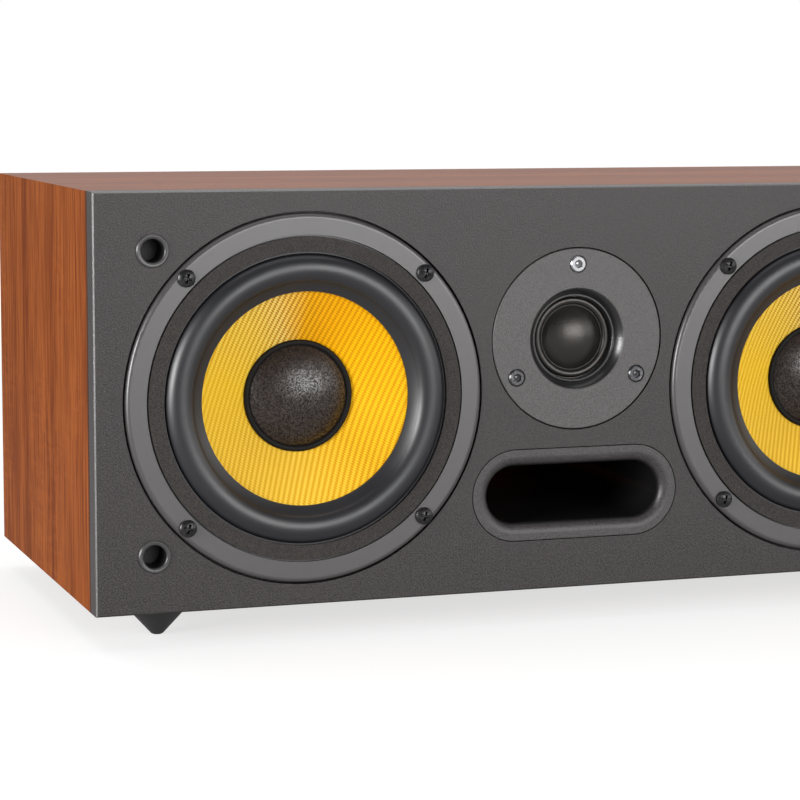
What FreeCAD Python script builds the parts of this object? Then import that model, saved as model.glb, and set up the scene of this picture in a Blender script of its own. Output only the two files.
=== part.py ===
"""Center channel speaker: a veneered box with two woofers, a dome tweeter and a slot port.

Millimetres, +Z up, the front facing -Y. The origin lies on the floor, under the middle of the speaker.
Every piece is drawn in the cabinet's own frame: x from the middle, y backwards from the face of the baffle,
z up from the underside of the box. Drivers are drawn about their own axis, which runs along y.
"""
import FreeCAD
import Part
import Sketcher
import math
import os
import re

# Driving dimensions, one cell of the sheet each.
SIZES = {
    # Box: mitred boards, with a rear panel set into them.
    "cabinet_width": 402,
    "cabinet_height": 165,
    "cabinet_depth": 190,
    "board": 15,
    "rear_board": 15,
    "rear_recess": 5,
    # Baffle: a board whose back is stepped, so that half of it sits inside the box.
    "baffle_lip": 9.5,
    "baffle_step": 9,
    "baffle_chamfer": 0.6,
    "step_clearance": 0.2,
    # Cone feet with studs, and the threaded inserts that hold them.
    "foot_height": 14,
    "foot_radius": 13,
    "foot_rim": 2,
    "foot_flat": 1,
    "foot_nose": 2.7,
    "foot_nose_height": 0.7,
    "foot_inset_x": 31,
    "foot_inset_y": 28,
    "stud_radius": 3,
    "stud_length": 10,
    "insert_radius": 4.5,
    "insert_length": 12,
    "thread_clearance": 0.1,
    # Woofers: places, and the basket from its flange to its rear plate.
    "woofer_x": 115.7,
    "woofer_z": 82.5,
    "flange_radius": 73.3,
    "flange_proud": 1.5,
    "flange_thick": 5,
    "flange_round": 1.8,
    "rebate_gap": 0.9,
    "seat_radius": 65,
    "seat_drop": 2,
    "bowl_radius": 57.2,
    "cutout_gap": 1,
    "basket_wall": 2.6,
    "basket_shoulder": 9,
    "shelf_radius": 49.5,
    "shelf_depth": 33,
    "shelf_thick": 3,
    "drum_radius": 44,
    "rear_plate_depth": 46,
    "rear_plate_thick": 3,
    "rear_plate_bore": 20,
    "spokes": 6,
    "spoke_angle": 20,
    "window_margin": 0.5,
    # Woofer soft parts and diaphragm.
    "gasket_thick": 1.5,
    "gasket_groove": 0.7,
    "gasket_inner": 58.3,
    "rubber": 0.8,
    "roll_outer": 57,
    "roll_inner": 46.4,
    "roll_crest": 51.3,
    "roll_proud": 4.5,
    "lip_inner": 42.6,
    "lip_y": 0.1,
    "cone_rim": 46.2,
    "cone_wall": 0.8,
    "cone_depth": 15.4,
    "cap_radius": 22.2,
    "cap_height": 7.4,
    "cap_wall": 0.9,
    "glue_gap": 0.15,
    "running_gap": 0.3,
    "former_inner": 12.7,
    "former_wall": 0.4,
    "former_stub": 2,
    "winding_wall": 0.6,
    "winding_length": 10,
    "spider_outer": 46.4,
    "spider_flat": 4,
    "spider_wall": 0.6,
    "spider_wave": 1.4,
    # Woofer motor.
    "top_plate_radius": 42,
    "top_plate_thick": 5,
    "gap_width": 0.7,
    "magnet_radius": 45,
    "magnet_bore": 22,
    "magnet_thick": 15,
    "back_plate_radius": 43,
    "back_plate_thick": 5,
    "pole_radius": 12,
    "vent_radius": 5,
    # Terminal strips with push-on blades.
    "strip_width": 18,
    "strip_height": 13,
    "strip_thick": 1.6,
    "strip_gap": 1,
    "blade_width": 4.8,
    "blade_thick": 0.8,
    "blade_length": 8,
    "blade_spread": 4.5,
    # Foam seals behind the drivers.
    "seal_thick": 1,
    "seal_margin": 0.4,
    # Woofer screws.
    "screw_circle": 69.2,
    "screw_head_radius": 3.5,
    "screw_head_height": 2.3,
    "screw_head_rim": 1,
    "screw_radius": 1.9,
    "screw_length": 18,
    "screw_clearance": 0.1,
    "flange_hole": 2.1,
    # Tweeter.
    "tweeter_z": 103,
    "faceplate_radius": 37.1,
    "faceplate_thick": 4.5,
    "faceplate_edge": 0.4,
    "faceplate_gap": 0.4,
    "mouth_radius": 20.9,
    "ledge_outer": 17.9,
    "ledge_inner": 17.3,
    "ledge_depth": 3.8,
    "throat_radius": 16.95,
    "throat_depth": 4.6,
    "boss_depth": 8,
    "boss_clearance": 0.5,
    "dome_radius": 13.2,
    "dome_height": 4.8,
    "dome_wall": 0.6,
    "dome_roll": 1.2,
    "dome_gap": 0.25,
    "dome_flange": 19.6,
    "dome_flange_thick": 1.5,
    "tweeter_motor_radius": 26,
    "tweeter_cutout_gap": 1.5,
    "tweeter_plate_thick": 3.5,
    "tweeter_magnet_thick": 9,
    "tweeter_magnet_bore": 17,
    "tweeter_back_thick": 3.5,
    "tweeter_back_inset": 0.5,
    "tweeter_pole": 12,
    "tweeter_pole_drop": 0.5,
    "tweeter_former": 12.7,
    "tweeter_coil_length": 5,
    "tweeter_coil_neck": 1,
    "tweeter_winding": 0.4,
    "tweeter_gap": 1.4,
    "tweeter_strip_height": 8,
    "tweeter_screw_circle": 30.5,
    "tweeter_head_radius": 3.35,
    "tweeter_head_proud": 0.6,
    "tweeter_bore_depth": 2,
    "tweeter_bore_gap": 0.35,
    "tweeter_screw_radius": 1.8,
    "tweeter_screw_length": 14,
    "tweeter_hole": 2.2,
    # Slot port: a flange flush with the baffle and a duct behind it.
    "port_z": 39.4,
    "port_width": 90,
    "port_height": 37.4,
    "port_flange_thick": 4,
    "port_gap": 0.4,
    "duct_width": 76,
    "duct_height": 23.4,
    "duct_wall": 2.5,
    "duct_length": 120,
    "duct_gap": 0.5,
    "port_lip_round": 4.3,
    # Grille sockets.
    "socket_x": 177.6,
    "socket_z": 59.7,
    "socket_rim": 6.6,
    "socket_proud": 1,
    "socket_edge": 0.5,
    "socket_body": 5.5,
    "socket_bore": 4.45,
    "socket_length": 12,
    "socket_floor": 1.5,
    "socket_gap": 0.1,
    # Terminal cup with its seal, screws, posts and caps.
    "cup_width": 90,
    "cup_height": 70,
    "cup_corner": 8,
    "cup_flange_thick": 2.5,
    "cup_seal_thick": 0.8,
    "pan_inset": 10,
    "pan_corner": 6,
    "pan_wall": 2,
    "pan_depth": 28,
    "pan_floor": 2.5,
    "pan_gap": 0.5,
    "cup_screw_inset": 6,
    "cup_screw_head": 2.8,
    "cup_screw_head_height": 1.4,
    "cup_screw_radius": 1.5,
    "cup_screw_length": 14,
    "post_pitch": 19,
    "post_tail_radius": 2.5,
    "post_tail_length": 12,
    "post_collar_radius": 6.4,
    "post_collar": 3,
    "post_radius": 3,
    "post_reach": 24,
    "post_bore": 2.05,
    "post_bore_depth": 18,
    "cap_outer": 6.6,
    "cap_length": 20,
    "cap_chamfer": 1,
    "cap_collar": 2,
    "cap_grooves": 12,
    "cap_groove_radius": 0.7,
    "nut_width": 9,
    "nut_thick": 3,
    # Crossover on moulded supports.
    "board_inset": 89,
    "board_z": 82.5,
    "board_width": 96,
    "board_height": 90,
    "board_thick": 1.6,
    "board_standoff": 8,
    "support_x": 42,
    "support_z": 39,
    "support_radius": 4,
    "support_neck": 1.6,
    "support_head": 2.5,
    "support_head_height": 2,
    "support_shank": 2,
    "support_shank_length": 9,
    "support_gap": 0.1,
    "large_coil_radius": 21,
    "large_coil_bore": 10,
    "large_coil_x": 22,
    "large_coil_z": 19,
    "large_coil_height": 22,
    "small_coil_radius": 14,
    "small_coil_bore": 7,
    "small_coil_x": 24,
    "small_coil_z": -24,
    "small_coil_height": 16,
    "large_capacitor_radius": 8.5,
    "large_capacitor_x": -17,
    "large_capacitor_z": 29,
    "large_capacitor_length": 30,
    "small_capacitor_radius": 7,
    "small_capacitor_x": -15,
    "small_capacitor_z": 10,
    "small_capacitor_length": 26,
    "resistor_length": 24,
    "resistor_side": 9,
    "resistor_edge": 1,
    "resistor_x": -14,
    "resistor_z": -10,
    # Damping pads on the side panels.
    "pad_thick": 20,
    "pad_front": 48,
    "pad_depth": 100,
    "pad_margin": 10,
    "pad_round": 6,
    # Leads.
    "lead_radius": 1.1,
    "lead_spread": 2,
    "lead_gap": 0.3,
}

# Sizes that follow from the driving ones, as sums in the sheet's own words.
WORKED_OUT = {
    "front_y": "-(cabinet_depth - roll_proud) / 2",
    "half_width": "cabinet_width / 2",
    "inner_half": "half_width - board",
    "baffle_back": "baffle_lip + baffle_step",
    "rear_face": "cabinet_depth - rear_recess",
    "rear_inside": "rear_face - rear_board",
    "foot_y_rear": "cabinet_depth - foot_inset_y",
    "foot_x": "half_width - foot_inset_x",
    # Woofer, counted backwards from the face of the baffle.
    "flange_back": "flange_thick - flange_proud",
    "seat_y": "seat_drop - flange_proud",
    "rebate_depth": "flange_back + seal_thick",
    "frame_radius": "seat_radius",
    "cutout_radius": "frame_radius + cutout_gap",
    "shelf_y": "shelf_depth - shelf_thick",
    "lip_back": "lip_y + rubber",
    "cone_y": "lip_back + running_gap",
    "former_outer": "former_inner + former_wall",
    "neck_radius": "former_outer + glue_gap",
    "neck_y": "cone_y + cone_depth",
    "cone_slope": "cone_depth / (lip_inner - neck_radius)",
    "winding_outer": "former_outer + winding_wall",
    "gap_radius": "winding_outer + gap_width",
    "winding_middle": "rear_plate_depth + top_plate_thick / 2",
    "winding_end": "winding_middle + winding_length / 2",
    "magnet_front": "rear_plate_depth + top_plate_thick",
    "back_plate_front": "magnet_front + magnet_thick",
    "back_plate_back": "back_plate_front + back_plate_thick",
    "spider_inner": "former_outer + running_gap",
    # Tweeter.
    "tweeter_rebate": "faceplate_thick + seal_thick",
    "tweeter_cutout": "tweeter_motor_radius + tweeter_cutout_gap",
    "dome_seat": "boss_depth - dome_flange_thick",
    "dome_apex": "dome_seat - dome_height",
    "tweeter_magnet_front": "boss_depth + tweeter_plate_thick",
    "tweeter_back_front": "tweeter_magnet_front + tweeter_magnet_thick",
    "tweeter_back": "tweeter_back_front + tweeter_back_thick",
    "tweeter_gap_radius": "dome_radius + tweeter_gap",
    # Terminal cup.
    "pan_width": "cup_width - 2 * pan_inset",
    "pan_height": "cup_height - 2 * pan_inset",
    "cup_screw_x": "cup_width / 2 - cup_screw_inset",
    "cup_screw_z": "cup_height / 2 - cup_screw_inset",
    "cup_y": "rear_face + cup_seal_thick",
    "cup_face": "cup_y + cup_flange_thick",
    "pan_floor_face": "cup_face - pan_depth",
    "pan_back": "pan_floor_face - pan_floor",
    "post_end": "pan_floor_face + post_reach",
    "collar_face": "pan_floor_face + post_collar",
    # Crossover.
    "board_x": "half_width - board_inset",
    "board_back": "rear_inside - board_standoff",
    "board_face": "board_back - board_thick",
}

doc = FreeCAD.newDocument("center_speaker")
sheet = doc.addObject("Spreadsheet::Sheet", "sizes")
for row, (alias, number) in enumerate(SIZES.items(), start=1):
    sheet.set(f"A{row}", alias)
    sheet.set(f"B{row}", str(number))
    sheet.setAlias(f"B{row}", alias)
doc.recompute()

WORD = re.compile(r"[a-z][a-z_0-9]*")
pieces = []


def spell(text):
    """Write a sum of named sizes as an expression on the sheet's cells."""
    def swap(match):
        name = match.group()
        if name in SIZES:
            return "sizes." + name
        if name in WORKED_OUT:
            return "(" + spell(WORKED_OUT[name]) + ")"
        return name
    return WORD.sub(swap, str(text))


def value(text):
    """The number that a sum of named sizes comes to."""
    return float(sheet.evalExpression(spell(text)))


def bind(thing, name, text):
    """Tie a property or constraint to a sum of named sizes."""
    thing.setExpression(name, spell(text))


def place(thing, x="0", y="0", z="0"):
    """Put a piece drawn in the cabinet's frame, moved by x, y and z, where the speaker stands."""
    bind(thing, "Placement.Base.x", x)
    bind(thing, "Placement.Base.y", f"front_y + {y}")
    bind(thing, "Placement.Base.z", f"foot_height + {z}")


def new_body(name, x="0", y="0", z="0"):
    body = doc.addObject("PartDesign::Body", name)
    body.Label = name
    place(body, x, y, z)
    return body


def keep(piece):
    """Count a finished object as a sub-part that gets its own file."""
    pieces.append(piece)
    return piece


def group(name, members):
    """Like pieces, such as screws, kept as separate solids of one sub-part."""
    compound = doc.addObject("Part::Compound", name)
    compound.Label = name
    compound.Links = members
    return keep(compound)


# Sketches

def new_sketch(body, role="XZ_Plane", offset="0"):
    """A sketch on one of the body's own planes, moved along the plane's normal."""
    sketch = body.newObject("Sketcher::SketchObject", "Sketch")
    plane = next(part for part in body.Origin.OriginFeatures if part.Role == role)
    sketch.AttachmentSupport = (plane, [""])
    sketch.MapMode = "FlatFace"
    if offset != "0":
        bind(sketch, "AttachmentOffset.Base.z", offset)
    return sketch


def fix_point(sketch, geometry, end, x, y):
    """Hold a point of a sketch at a place worked out from named sizes."""
    for kind, axis, text in (("DistanceX", -2, x), ("DistanceY", -1, y)):
        if text == "0":
            sketch.addConstraint(Sketcher.Constraint("PointOnObject", geometry, end, axis))
        else:
            held = Sketcher.Constraint(kind, -1, 1, geometry, end, value(text))
            bind(sketch, f"Constraints[{sketch.addConstraint(held)}]", text)


def vector(corner):
    """The place of an outline's corner in its sketch."""
    return FreeCAD.Vector(value(corner[0]), value(corner[1]), 0)


def on_dome(start, end):
    """A point half way out on the front of the sphere, centred on the upright axis, through two places."""
    centre = (end.x ** 2 + end.y ** 2 - start.x ** 2 - start.y ** 2) / (2 * (end.y - start.y))
    sphere = math.hypot(start.x, start.y - centre)
    radius = (start.x + end.x) / 2
    return FreeCAD.Vector(radius, centre - math.sqrt(sphere ** 2 - radius ** 2), 0)


def draw(sketch, outline):
    """Add a closed outline of corners (x, y), each reached from the one before by a line.

    A third item makes that edge an arc: a point (x, y) on it, or "dome" for a sphere centred on the axis.
    """
    points = [vector(corner) for corner in outline]
    edges = []
    for index, corner in enumerate(outline):
        start, end = points[index - 1], points[index]
        if len(corner) == 2:
            edge = sketch.addGeometry(Part.LineSegment(start, end))
            edges.append((edge, 1, 2))
            continue
        through = on_dome(start, end) if corner[2] == "dome" else vector(corner[2])
        anticlockwise = (through - start).cross(end - through).z > 0
        ends = (start, end) if anticlockwise else (end, start)
        edge = sketch.addGeometry(Part.Arc(ends[0], through, ends[1]))
        edges.append((edge, 1, 2) if anticlockwise else (edge, 2, 1))
    for index, corner in enumerate(outline):
        edge, _, end = edges[index]
        following, start, _ = edges[(index + 1) % len(edges)]
        sketch.addConstraint(Sketcher.Constraint("Coincident", edge, end, following, start))
        fix_point(sketch, edge, end, corner[0], corner[1])
        if len(corner) == 3 and corner[2] == "dome":
            sketch.addConstraint(Sketcher.Constraint("PointOnObject", edge, 3, -2))
        elif len(corner) == 3:
            mark = sketch.addGeometry(Part.Point(vector(corner[2])), True)
            sketch.addConstraint(Sketcher.Constraint("PointOnObject", mark, 1, edge))
            fix_point(sketch, mark, 1, *corner[2])


def draw_circle(sketch, x, y, radius):
    centre = FreeCAD.Vector(value(x), value(y), 0)
    circle = sketch.addGeometry(Part.Circle(centre, FreeCAD.Vector(0, 0, 1), value(radius)))
    fix_point(sketch, circle, 3, x, y)
    held = Sketcher.Constraint("Radius", circle, value(radius))
    bind(sketch, f"Constraints[{sketch.addConstraint(held)}]", radius)


def rectangle(width, height, x="0", y="0"):
    left, right = f"{x} - ({width}) / 2", f"{x} + ({width}) / 2"
    low, high = f"{y} - ({height}) / 2", f"{y} + ({height}) / 2"
    return [(left, low), (right, low), (right, high), (left, high)]


def rounded_rectangle(width, height, corner, x="0", y="0"):
    """A rectangle whose corners are quarter circles."""
    outline = []
    for right, up in ((1, -1), (1, 1), (-1, 1), (-1, -1)):
        edge_x, edge_y = f"{x} + {right} * ({width}) / 2", f"{y} + {up} * ({height}) / 2"
        inset_x, inset_y = f"{edge_x} - {right} * ({corner})", f"{edge_y} - {up} * ({corner})"
        nick = f"({corner}) * (1 - 1 / sqrt(2))"
        on_arc = (f"{edge_x} - {right} * {nick}", f"{edge_y} - {up} * {nick}")
        ends = [(inset_x, edge_y), (edge_x, inset_y)]
        if right * up > 0:
            ends.reverse()
        outline += [ends[0], (*ends[1], on_arc)]
    return outline


def stadium(width, height, x="0", y="0"):
    """Two straight runs joined by half circles."""
    straight = f"(({width}) - ({height})) / 2"
    low, high = f"{y} - ({height}) / 2", f"{y} + ({height}) / 2"
    left, right = f"{x} - {straight}", f"{x} + {straight}"
    return [
        (right, low),
        (right, high, (f"{x} + ({width}) / 2", y)),
        (left, high),
        (left, low, (f"{x} - ({width}) / 2", y)),
    ]


# Solid features

def turn(name, outline, x="0", y="0", z="0", role="XY_Plane"):
    """A turned piece: an outline of (radius, place along the axis) revolved about the upright axis."""
    body = new_body(name, x, y, z)
    sketch = new_sketch(body, role)
    draw(sketch, outline)
    turned = body.newObject("PartDesign::Revolution", "Turned")
    turned.Profile = sketch
    turned.ReferenceAxis = (sketch, ["V_Axis"])
    turned.Angle = 360
    return body


def pad(body, start, length, *outlines):
    """Material from y = start backwards over a length, inside each outline drawn in x and z."""
    sketch = new_sketch(body, offset=f"-({start})")
    for outline in outlines:
        draw(sketch, outline)
    feature = body.newObject("PartDesign::Pad", "Pad")
    feature.Profile = sketch
    feature.Reversed = True
    bind(feature, "Length", length)
    return feature


def pocket(body, start, depth, outlines=(), circles=()):
    """Cut from y = start backwards over a depth, inside outlines and (x, z, radius) circles."""
    sketch = new_sketch(body, offset=f"-({start})")
    for outline in outlines:
        draw(sketch, outline)
    for circle in circles:
        draw_circle(sketch, *circle)
    feature = body.newObject("PartDesign::Pocket", "Pocket")
    feature.Profile = sketch
    bind(feature, "Length", depth)
    return feature


def edges_where(feature, test):
    """Names of the edges of a feature whose every end passes a test on its place."""
    names = []
    for index, edge in enumerate(feature.Shape.Edges, start=1):
        if all(test(vertex.Point) for vertex in edge.Vertexes) and test(edge.CenterOfMass):
            names.append(f"Edge{index}")
    return names


def soften(body, kind, feature, names, size):
    """Fillet or chamfer named edges of a feature."""
    softened = body.newObject(f"PartDesign::{kind}", kind)
    softened.Base = (feature, names)
    bind(softened, "Radius" if kind == "Fillet" else "Size", size)
    return softened


def around(circle, angles):
    """Places (x, z) on a circle named by its radius, at angles in degrees."""
    spots = []
    for angle in angles:
        across, up = math.cos(math.radians(angle)), math.sin(math.radians(angle))
        spots.append((f"({circle}) * {across:.6f}", f"({circle}) * {up:.6f}"))
    return spots


SIDES = (("left", "-"), ("right", ""))
WOOFER_SCREW_ANGLES = (45, 135, 225, 315)
TWEETER_SCREW_ANGLES = (90, 210, 330)
WOOFERS = [(f"{sign}woofer_x", "woofer_z") for _, sign in SIDES]
woofer_spots = [
    (f"{x} + {across}", f"{z} + {up}")
    for x, z in WOOFERS
    for across, up in around("screw_circle", WOOFER_SCREW_ANGLES)
]
tweeter_spots = [
    (across, f"tweeter_z + {up}") for across, up in around("tweeter_screw_circle", TWEETER_SCREW_ANGLES)
]
socket_spots = [
    (f"{right} * socket_x", f"cabinet_height / 2 + {up} * socket_z") for right in (-1, 1) for up in (-1, 1)
]
foot_spots = {
    f"{depth}_{side}": (f"{sign}foot_x", y)
    for depth, y in (("front", "foot_inset_y"), ("rear", "foot_y_rear"))
    for side, sign in SIDES
}

# Box: four boards mitred at the corners, behind the lip of the baffle.
for side, sign in SIDES:
    body = new_body(f"{side}_side_panel")
    section = [
        (f"{sign}half_width", "0"),
        (f"{sign}half_width", "cabinet_height"),
        (f"{sign}inner_half", "cabinet_height - board"),
        (f"{sign}inner_half", "board"),
    ]
    pad(body, "baffle_lip", "cabinet_depth - baffle_lip", section)
    keep(body)
for name, face, inside in (
    ("top_panel", "cabinet_height", "cabinet_height - board"),
    ("bottom_panel", "0", "board"),
):
    body = new_body(name)
    section = [("-half_width", face), ("half_width", face), ("inner_half", inside), ("-inner_half", inside)]
    board = pad(body, "baffle_lip", "cabinet_depth - baffle_lip", section)
    if name == "bottom_panel":
        sketch = new_sketch(body, "XY_Plane")
        for x, y in foot_spots.values():
            draw_circle(sketch, x, y, "insert_radius + thread_clearance")
        holes = body.newObject("PartDesign::Pocket", "InsertHoles")
        holes.Profile = sketch
        holes.Reversed = True
        bind(holes, "Length", "insert_length")
    keep(body)

# Front baffle: a lip over the ends of the boards, a step inside them, and rebates and cut-outs
# for everything it carries.
baffle = new_body("front_baffle")
pad(baffle, "0", "baffle_lip", rectangle("cabinet_width", "cabinet_height", "0", "cabinet_height / 2"))
step_width = "cabinet_width - 2 * (board + step_clearance)"
step_height = "cabinet_height - 2 * (board + step_clearance)"
step = pad(baffle, "baffle_lip", "baffle_step", rectangle(step_width, step_height, "0", "cabinet_height / 2"))
doc.recompute()
front_edges = edges_where(step, lambda point: abs(point.y) < 1e-6)
soften(baffle, "Chamfer", step, front_edges, "baffle_chamfer")
pocket(baffle, "0", "rebate_depth", circles=[(x, z, "flange_radius + rebate_gap") for x, z in WOOFERS])
pocket(baffle, "0", "baffle_back", circles=[(x, z, "cutout_radius") for x, z in WOOFERS])
pocket(baffle, "0", "tweeter_rebate", circles=[("0", "tweeter_z", "faceplate_radius + faceplate_gap")])
pocket(baffle, "0", "baffle_back", circles=[("0", "tweeter_z", "tweeter_cutout")])
port_rebate = stadium("port_width + 2 * port_gap", "port_height + 2 * port_gap", "0", "port_z")
pocket(baffle, "0", "port_flange_thick", [port_rebate])
duct_hole = stadium(
    "duct_width + 2 * (duct_wall + duct_gap)", "duct_height + 2 * (duct_wall + duct_gap)", "0", "port_z"
)
pocket(baffle, "0", "baffle_back", [duct_hole])
socket_holes = [(x, z, "socket_body + socket_gap") for x, z in socket_spots]
pocket(baffle, "0", "socket_length + socket_gap", circles=socket_holes)
pilot = "screw_length - flange_proud + screw_clearance"
woofer_pilots = [(x, z, "screw_radius + screw_clearance") for x, z in woofer_spots]
pocket(baffle, "0", pilot, circles=woofer_pilots)
pilot = "tweeter_bore_depth + tweeter_screw_length + screw_clearance"
tweeter_pilots = [(x, z, "tweeter_screw_radius + screw_clearance") for x, z in tweeter_spots]
pocket(baffle, "0", pilot, circles=tweeter_pilots)
keep(baffle)

# Rear panel: set inside the boards, cut out for the terminal cup, with holes for its screws
# and the board supports.
cup_z = "cabinet_height / 2"
cup_screw_spots = [
    (f"{right} * cup_screw_x", f"{cup_z} + {up} * cup_screw_z") for right in (-1, 1) for up in (-1, 1)
]
support_spots = [
    (f"board_x + {right} * support_x", f"board_z + {up} * support_z") for right in (-1, 1) for up in (-1, 1)
]
rear = new_body("rear_panel")
rear_outline = rectangle("cabinet_width - 2 * board", "cabinet_height - 2 * board", "0", "cabinet_height / 2")
pad(rear, "rear_inside", "rear_board", rear_outline)
pan_hole = rounded_rectangle("pan_width + 2 * pan_gap", "pan_height + 2 * pan_gap", "pan_corner", "0", cup_z)
pocket(rear, "rear_inside", "rear_board", [pan_hole])
cup_pilot = "cup_screw_length - cup_flange_thick - cup_seal_thick + screw_clearance"
pilots = [(x, z, "cup_screw_radius + screw_clearance") for x, z in cup_screw_spots]
pocket(rear, f"rear_face - ({cup_pilot})", cup_pilot, circles=pilots)
sockets = [(x, z, "support_shank + support_gap") for x, z in support_spots]
pocket(rear, "rear_inside", "support_shank_length + support_gap", circles=sockets)
keep(rear)

# Cone feet with their studs, and the inserts pressed into the bottom panel.
foot_outline = [
    ("0", "-foot_height"),
    ("foot_flat", "-foot_height"),
    (
        "foot_nose",
        "foot_nose_height - foot_height",
        ("foot_flat + (foot_nose - foot_flat) * 0.54", "foot_nose_height * 0.26 - foot_height"),
    ),
    ("foot_radius", "-foot_rim"),
    ("foot_radius", "0"),
    ("stud_radius", "0"),
    ("stud_radius", "stud_length"),
    ("0", "stud_length"),
]
insert_outline = [
    ("stud_radius + thread_clearance", "0"),
    ("insert_radius", "0"),
    ("insert_radius", "insert_length"),
    ("stud_radius + thread_clearance", "insert_length"),
]
inserts = []
for spot, (x, y) in foot_spots.items():
    keep(turn(f"foot_{spot}", foot_outline, x, y, role="XZ_Plane"))
    inserts.append(turn(f"insert_{spot}", insert_outline, x, y, role="XZ_Plane"))
group("foot_inserts", inserts)

# Woofers. The basket is a casting: flange, recessed seat, spoked bowl, spider shelf, drum and rear plate.
basket_outline = [
    ("flange_radius - flange_round", "-flange_proud"),
    (
        "flange_radius",
        "flange_round - flange_proud",
        (
            "flange_radius - flange_round * (1 - 1 / sqrt(2))",
            "flange_round * (1 - 1 / sqrt(2)) - flange_proud",
        ),
    ),
    ("flange_radius", "flange_back"),
    ("frame_radius", "flange_back"),
    ("frame_radius - basket_wall", "basket_shoulder"),
    ("shelf_radius", "shelf_depth"),
    ("drum_radius", "shelf_depth"),
    ("drum_radius", "rear_plate_depth"),
    ("rear_plate_bore", "rear_plate_depth"),
    ("rear_plate_bore", "rear_plate_depth - rear_plate_thick"),
    ("drum_radius - basket_wall", "rear_plate_depth - rear_plate_thick"),
    ("drum_radius - basket_wall", "shelf_y"),
    ("shelf_radius - basket_wall", "shelf_y"),
    ("frame_radius - 2 * basket_wall", "basket_shoulder - basket_wall / 2"),
    ("bowl_radius", "flange_back + basket_wall / 5"),
    ("bowl_radius", "seat_y"),
    ("seat_radius", "seat_y"),
    ("seat_radius", "-flange_proud"),
]
gasket_outline = [
    ("gasket_inner", "seat_y - rubber - gasket_thick"),
    ("seat_radius - gasket_groove", "seat_y - rubber - gasket_thick"),
    ("seat_radius - gasket_groove", "seat_y - rubber"),
    ("gasket_inner", "seat_y - rubber"),
]
# The inner lip of the surround lies along the front of the cone, so it climbs outwards to the roll.
roll_foot = "roll_inner + rubber / 2"
surround_outline = [
    ("seat_radius - gasket_groove", "seat_y - rubber"),
    ("roll_outer", "seat_y - rubber"),
    ("roll_inner", "lip_y - cone_slope * (roll_inner - lip_inner)", ("roll_crest", "-roll_proud")),
    ("lip_inner", "lip_y"),
    ("lip_inner", "lip_back"),
    (roll_foot, f"lip_back - cone_slope * ({roll_foot} - lip_inner)"),
    ("roll_outer - rubber", "seat_y", ("roll_crest", "rubber - roll_proud")),
    ("seat_radius - gasket_groove", "seat_y"),
]
cone_edge = "cone_y - cone_slope * (cone_rim - lip_inner)"
cone_outline = [
    ("cone_rim", cone_edge),
    ("neck_radius", "neck_y"),
    ("neck_radius", "neck_y + cone_wall * 1.2"),
    ("cone_rim", f"{cone_edge} + cone_wall"),
]
cap_seat = "neck_y - glue_gap - cone_slope * (cap_radius - neck_radius)"
cap_inner = "cap_radius - 1.3 * cap_wall"
cap_inner_seat = f"neck_y - glue_gap - cone_slope * ({cap_inner} - neck_radius)"
cap_apex = f"({cap_seat}) - cap_height"
dust_cap_outline = [
    ("0", cap_apex),
    ("cap_radius", cap_seat, "dome"),
    (cap_inner, cap_inner_seat),
    ("0", f"{cap_apex} + cap_wall", "dome"),
]
coil_outline = [
    ("former_inner", "neck_y - former_stub"),
    ("former_outer", "neck_y - former_stub"),
    ("former_outer", "winding_end - winding_length"),
    ("winding_outer", "winding_end - winding_length"),
    ("winding_outer", "winding_end"),
    ("former_inner", "winding_end"),
]
# The spider is a disc pressed into ripples, flat where it is glued to the shelf.
RIPPLES = 5
ripple_width = f"(spider_outer - spider_flat - spider_inner) / {2 * RIPPLES}"
ripples = [
    (f"spider_inner + {index} * {ripple_width}", f"shelf_y - spider_wall - {index % 2} * spider_wave")
    for index in range(2 * RIPPLES + 1)
]
spider_front = ripples + [("spider_outer", "shelf_y - spider_wall")]
spider_outline = spider_front + [(radius, f"{y} + spider_wall") for radius, y in reversed(spider_front)]
top_plate_outline = [
    ("gap_radius", "rear_plate_depth"),
    ("top_plate_radius", "rear_plate_depth"),
    ("top_plate_radius", "magnet_front"),
    ("gap_radius", "magnet_front"),
]
magnet_outline = [
    ("magnet_bore", "magnet_front"),
    ("magnet_radius", "magnet_front"),
    ("magnet_radius", "back_plate_front"),
    ("magnet_bore", "back_plate_front"),
]
yoke_outline = [
    ("vent_radius", "rear_plate_depth"),
    ("pole_radius", "rear_plate_depth"),
    ("pole_radius", "back_plate_front"),
    ("back_plate_radius", "back_plate_front"),
    ("back_plate_radius", "back_plate_back"),
    ("vent_radius", "back_plate_back"),
]
# A window of the bowl reaches from the wall's foot to the flange, between two spokes.
half_window = math.radians(value("180 / spokes - spoke_angle / 2"))
window_outer = "frame_radius - basket_wall / 2"
window_inner = "shelf_radius - basket_wall - window_margin"


def window_corner(radius, turn_by):
    """A corner of the first window, as a share of its radius, measured from the upright."""
    return f"({radius}) * {math.sin(turn_by):.6f}", f"({radius}) * {math.cos(turn_by):.6f}"


window = [
    window_corner(window_outer, -half_window),
    (*window_corner(window_outer, half_window), ("0", window_outer)),
    window_corner(window_inner, half_window),
    (*window_corner(window_inner, -half_window), ("0", window_inner)),
]
window_front = "basket_shoulder + basket_wall / 2"
strip_top = "-(drum_radius + strip_gap)"


def strip_outline(top, height):
    return rectangle("strip_width", height, "0", f"{top} - ({height}) / 2")


def blade_outlines(z):
    return [rectangle("blade_width", "blade_thick", f"{side} * blade_spread", z) for side in (-1, 1)]


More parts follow.
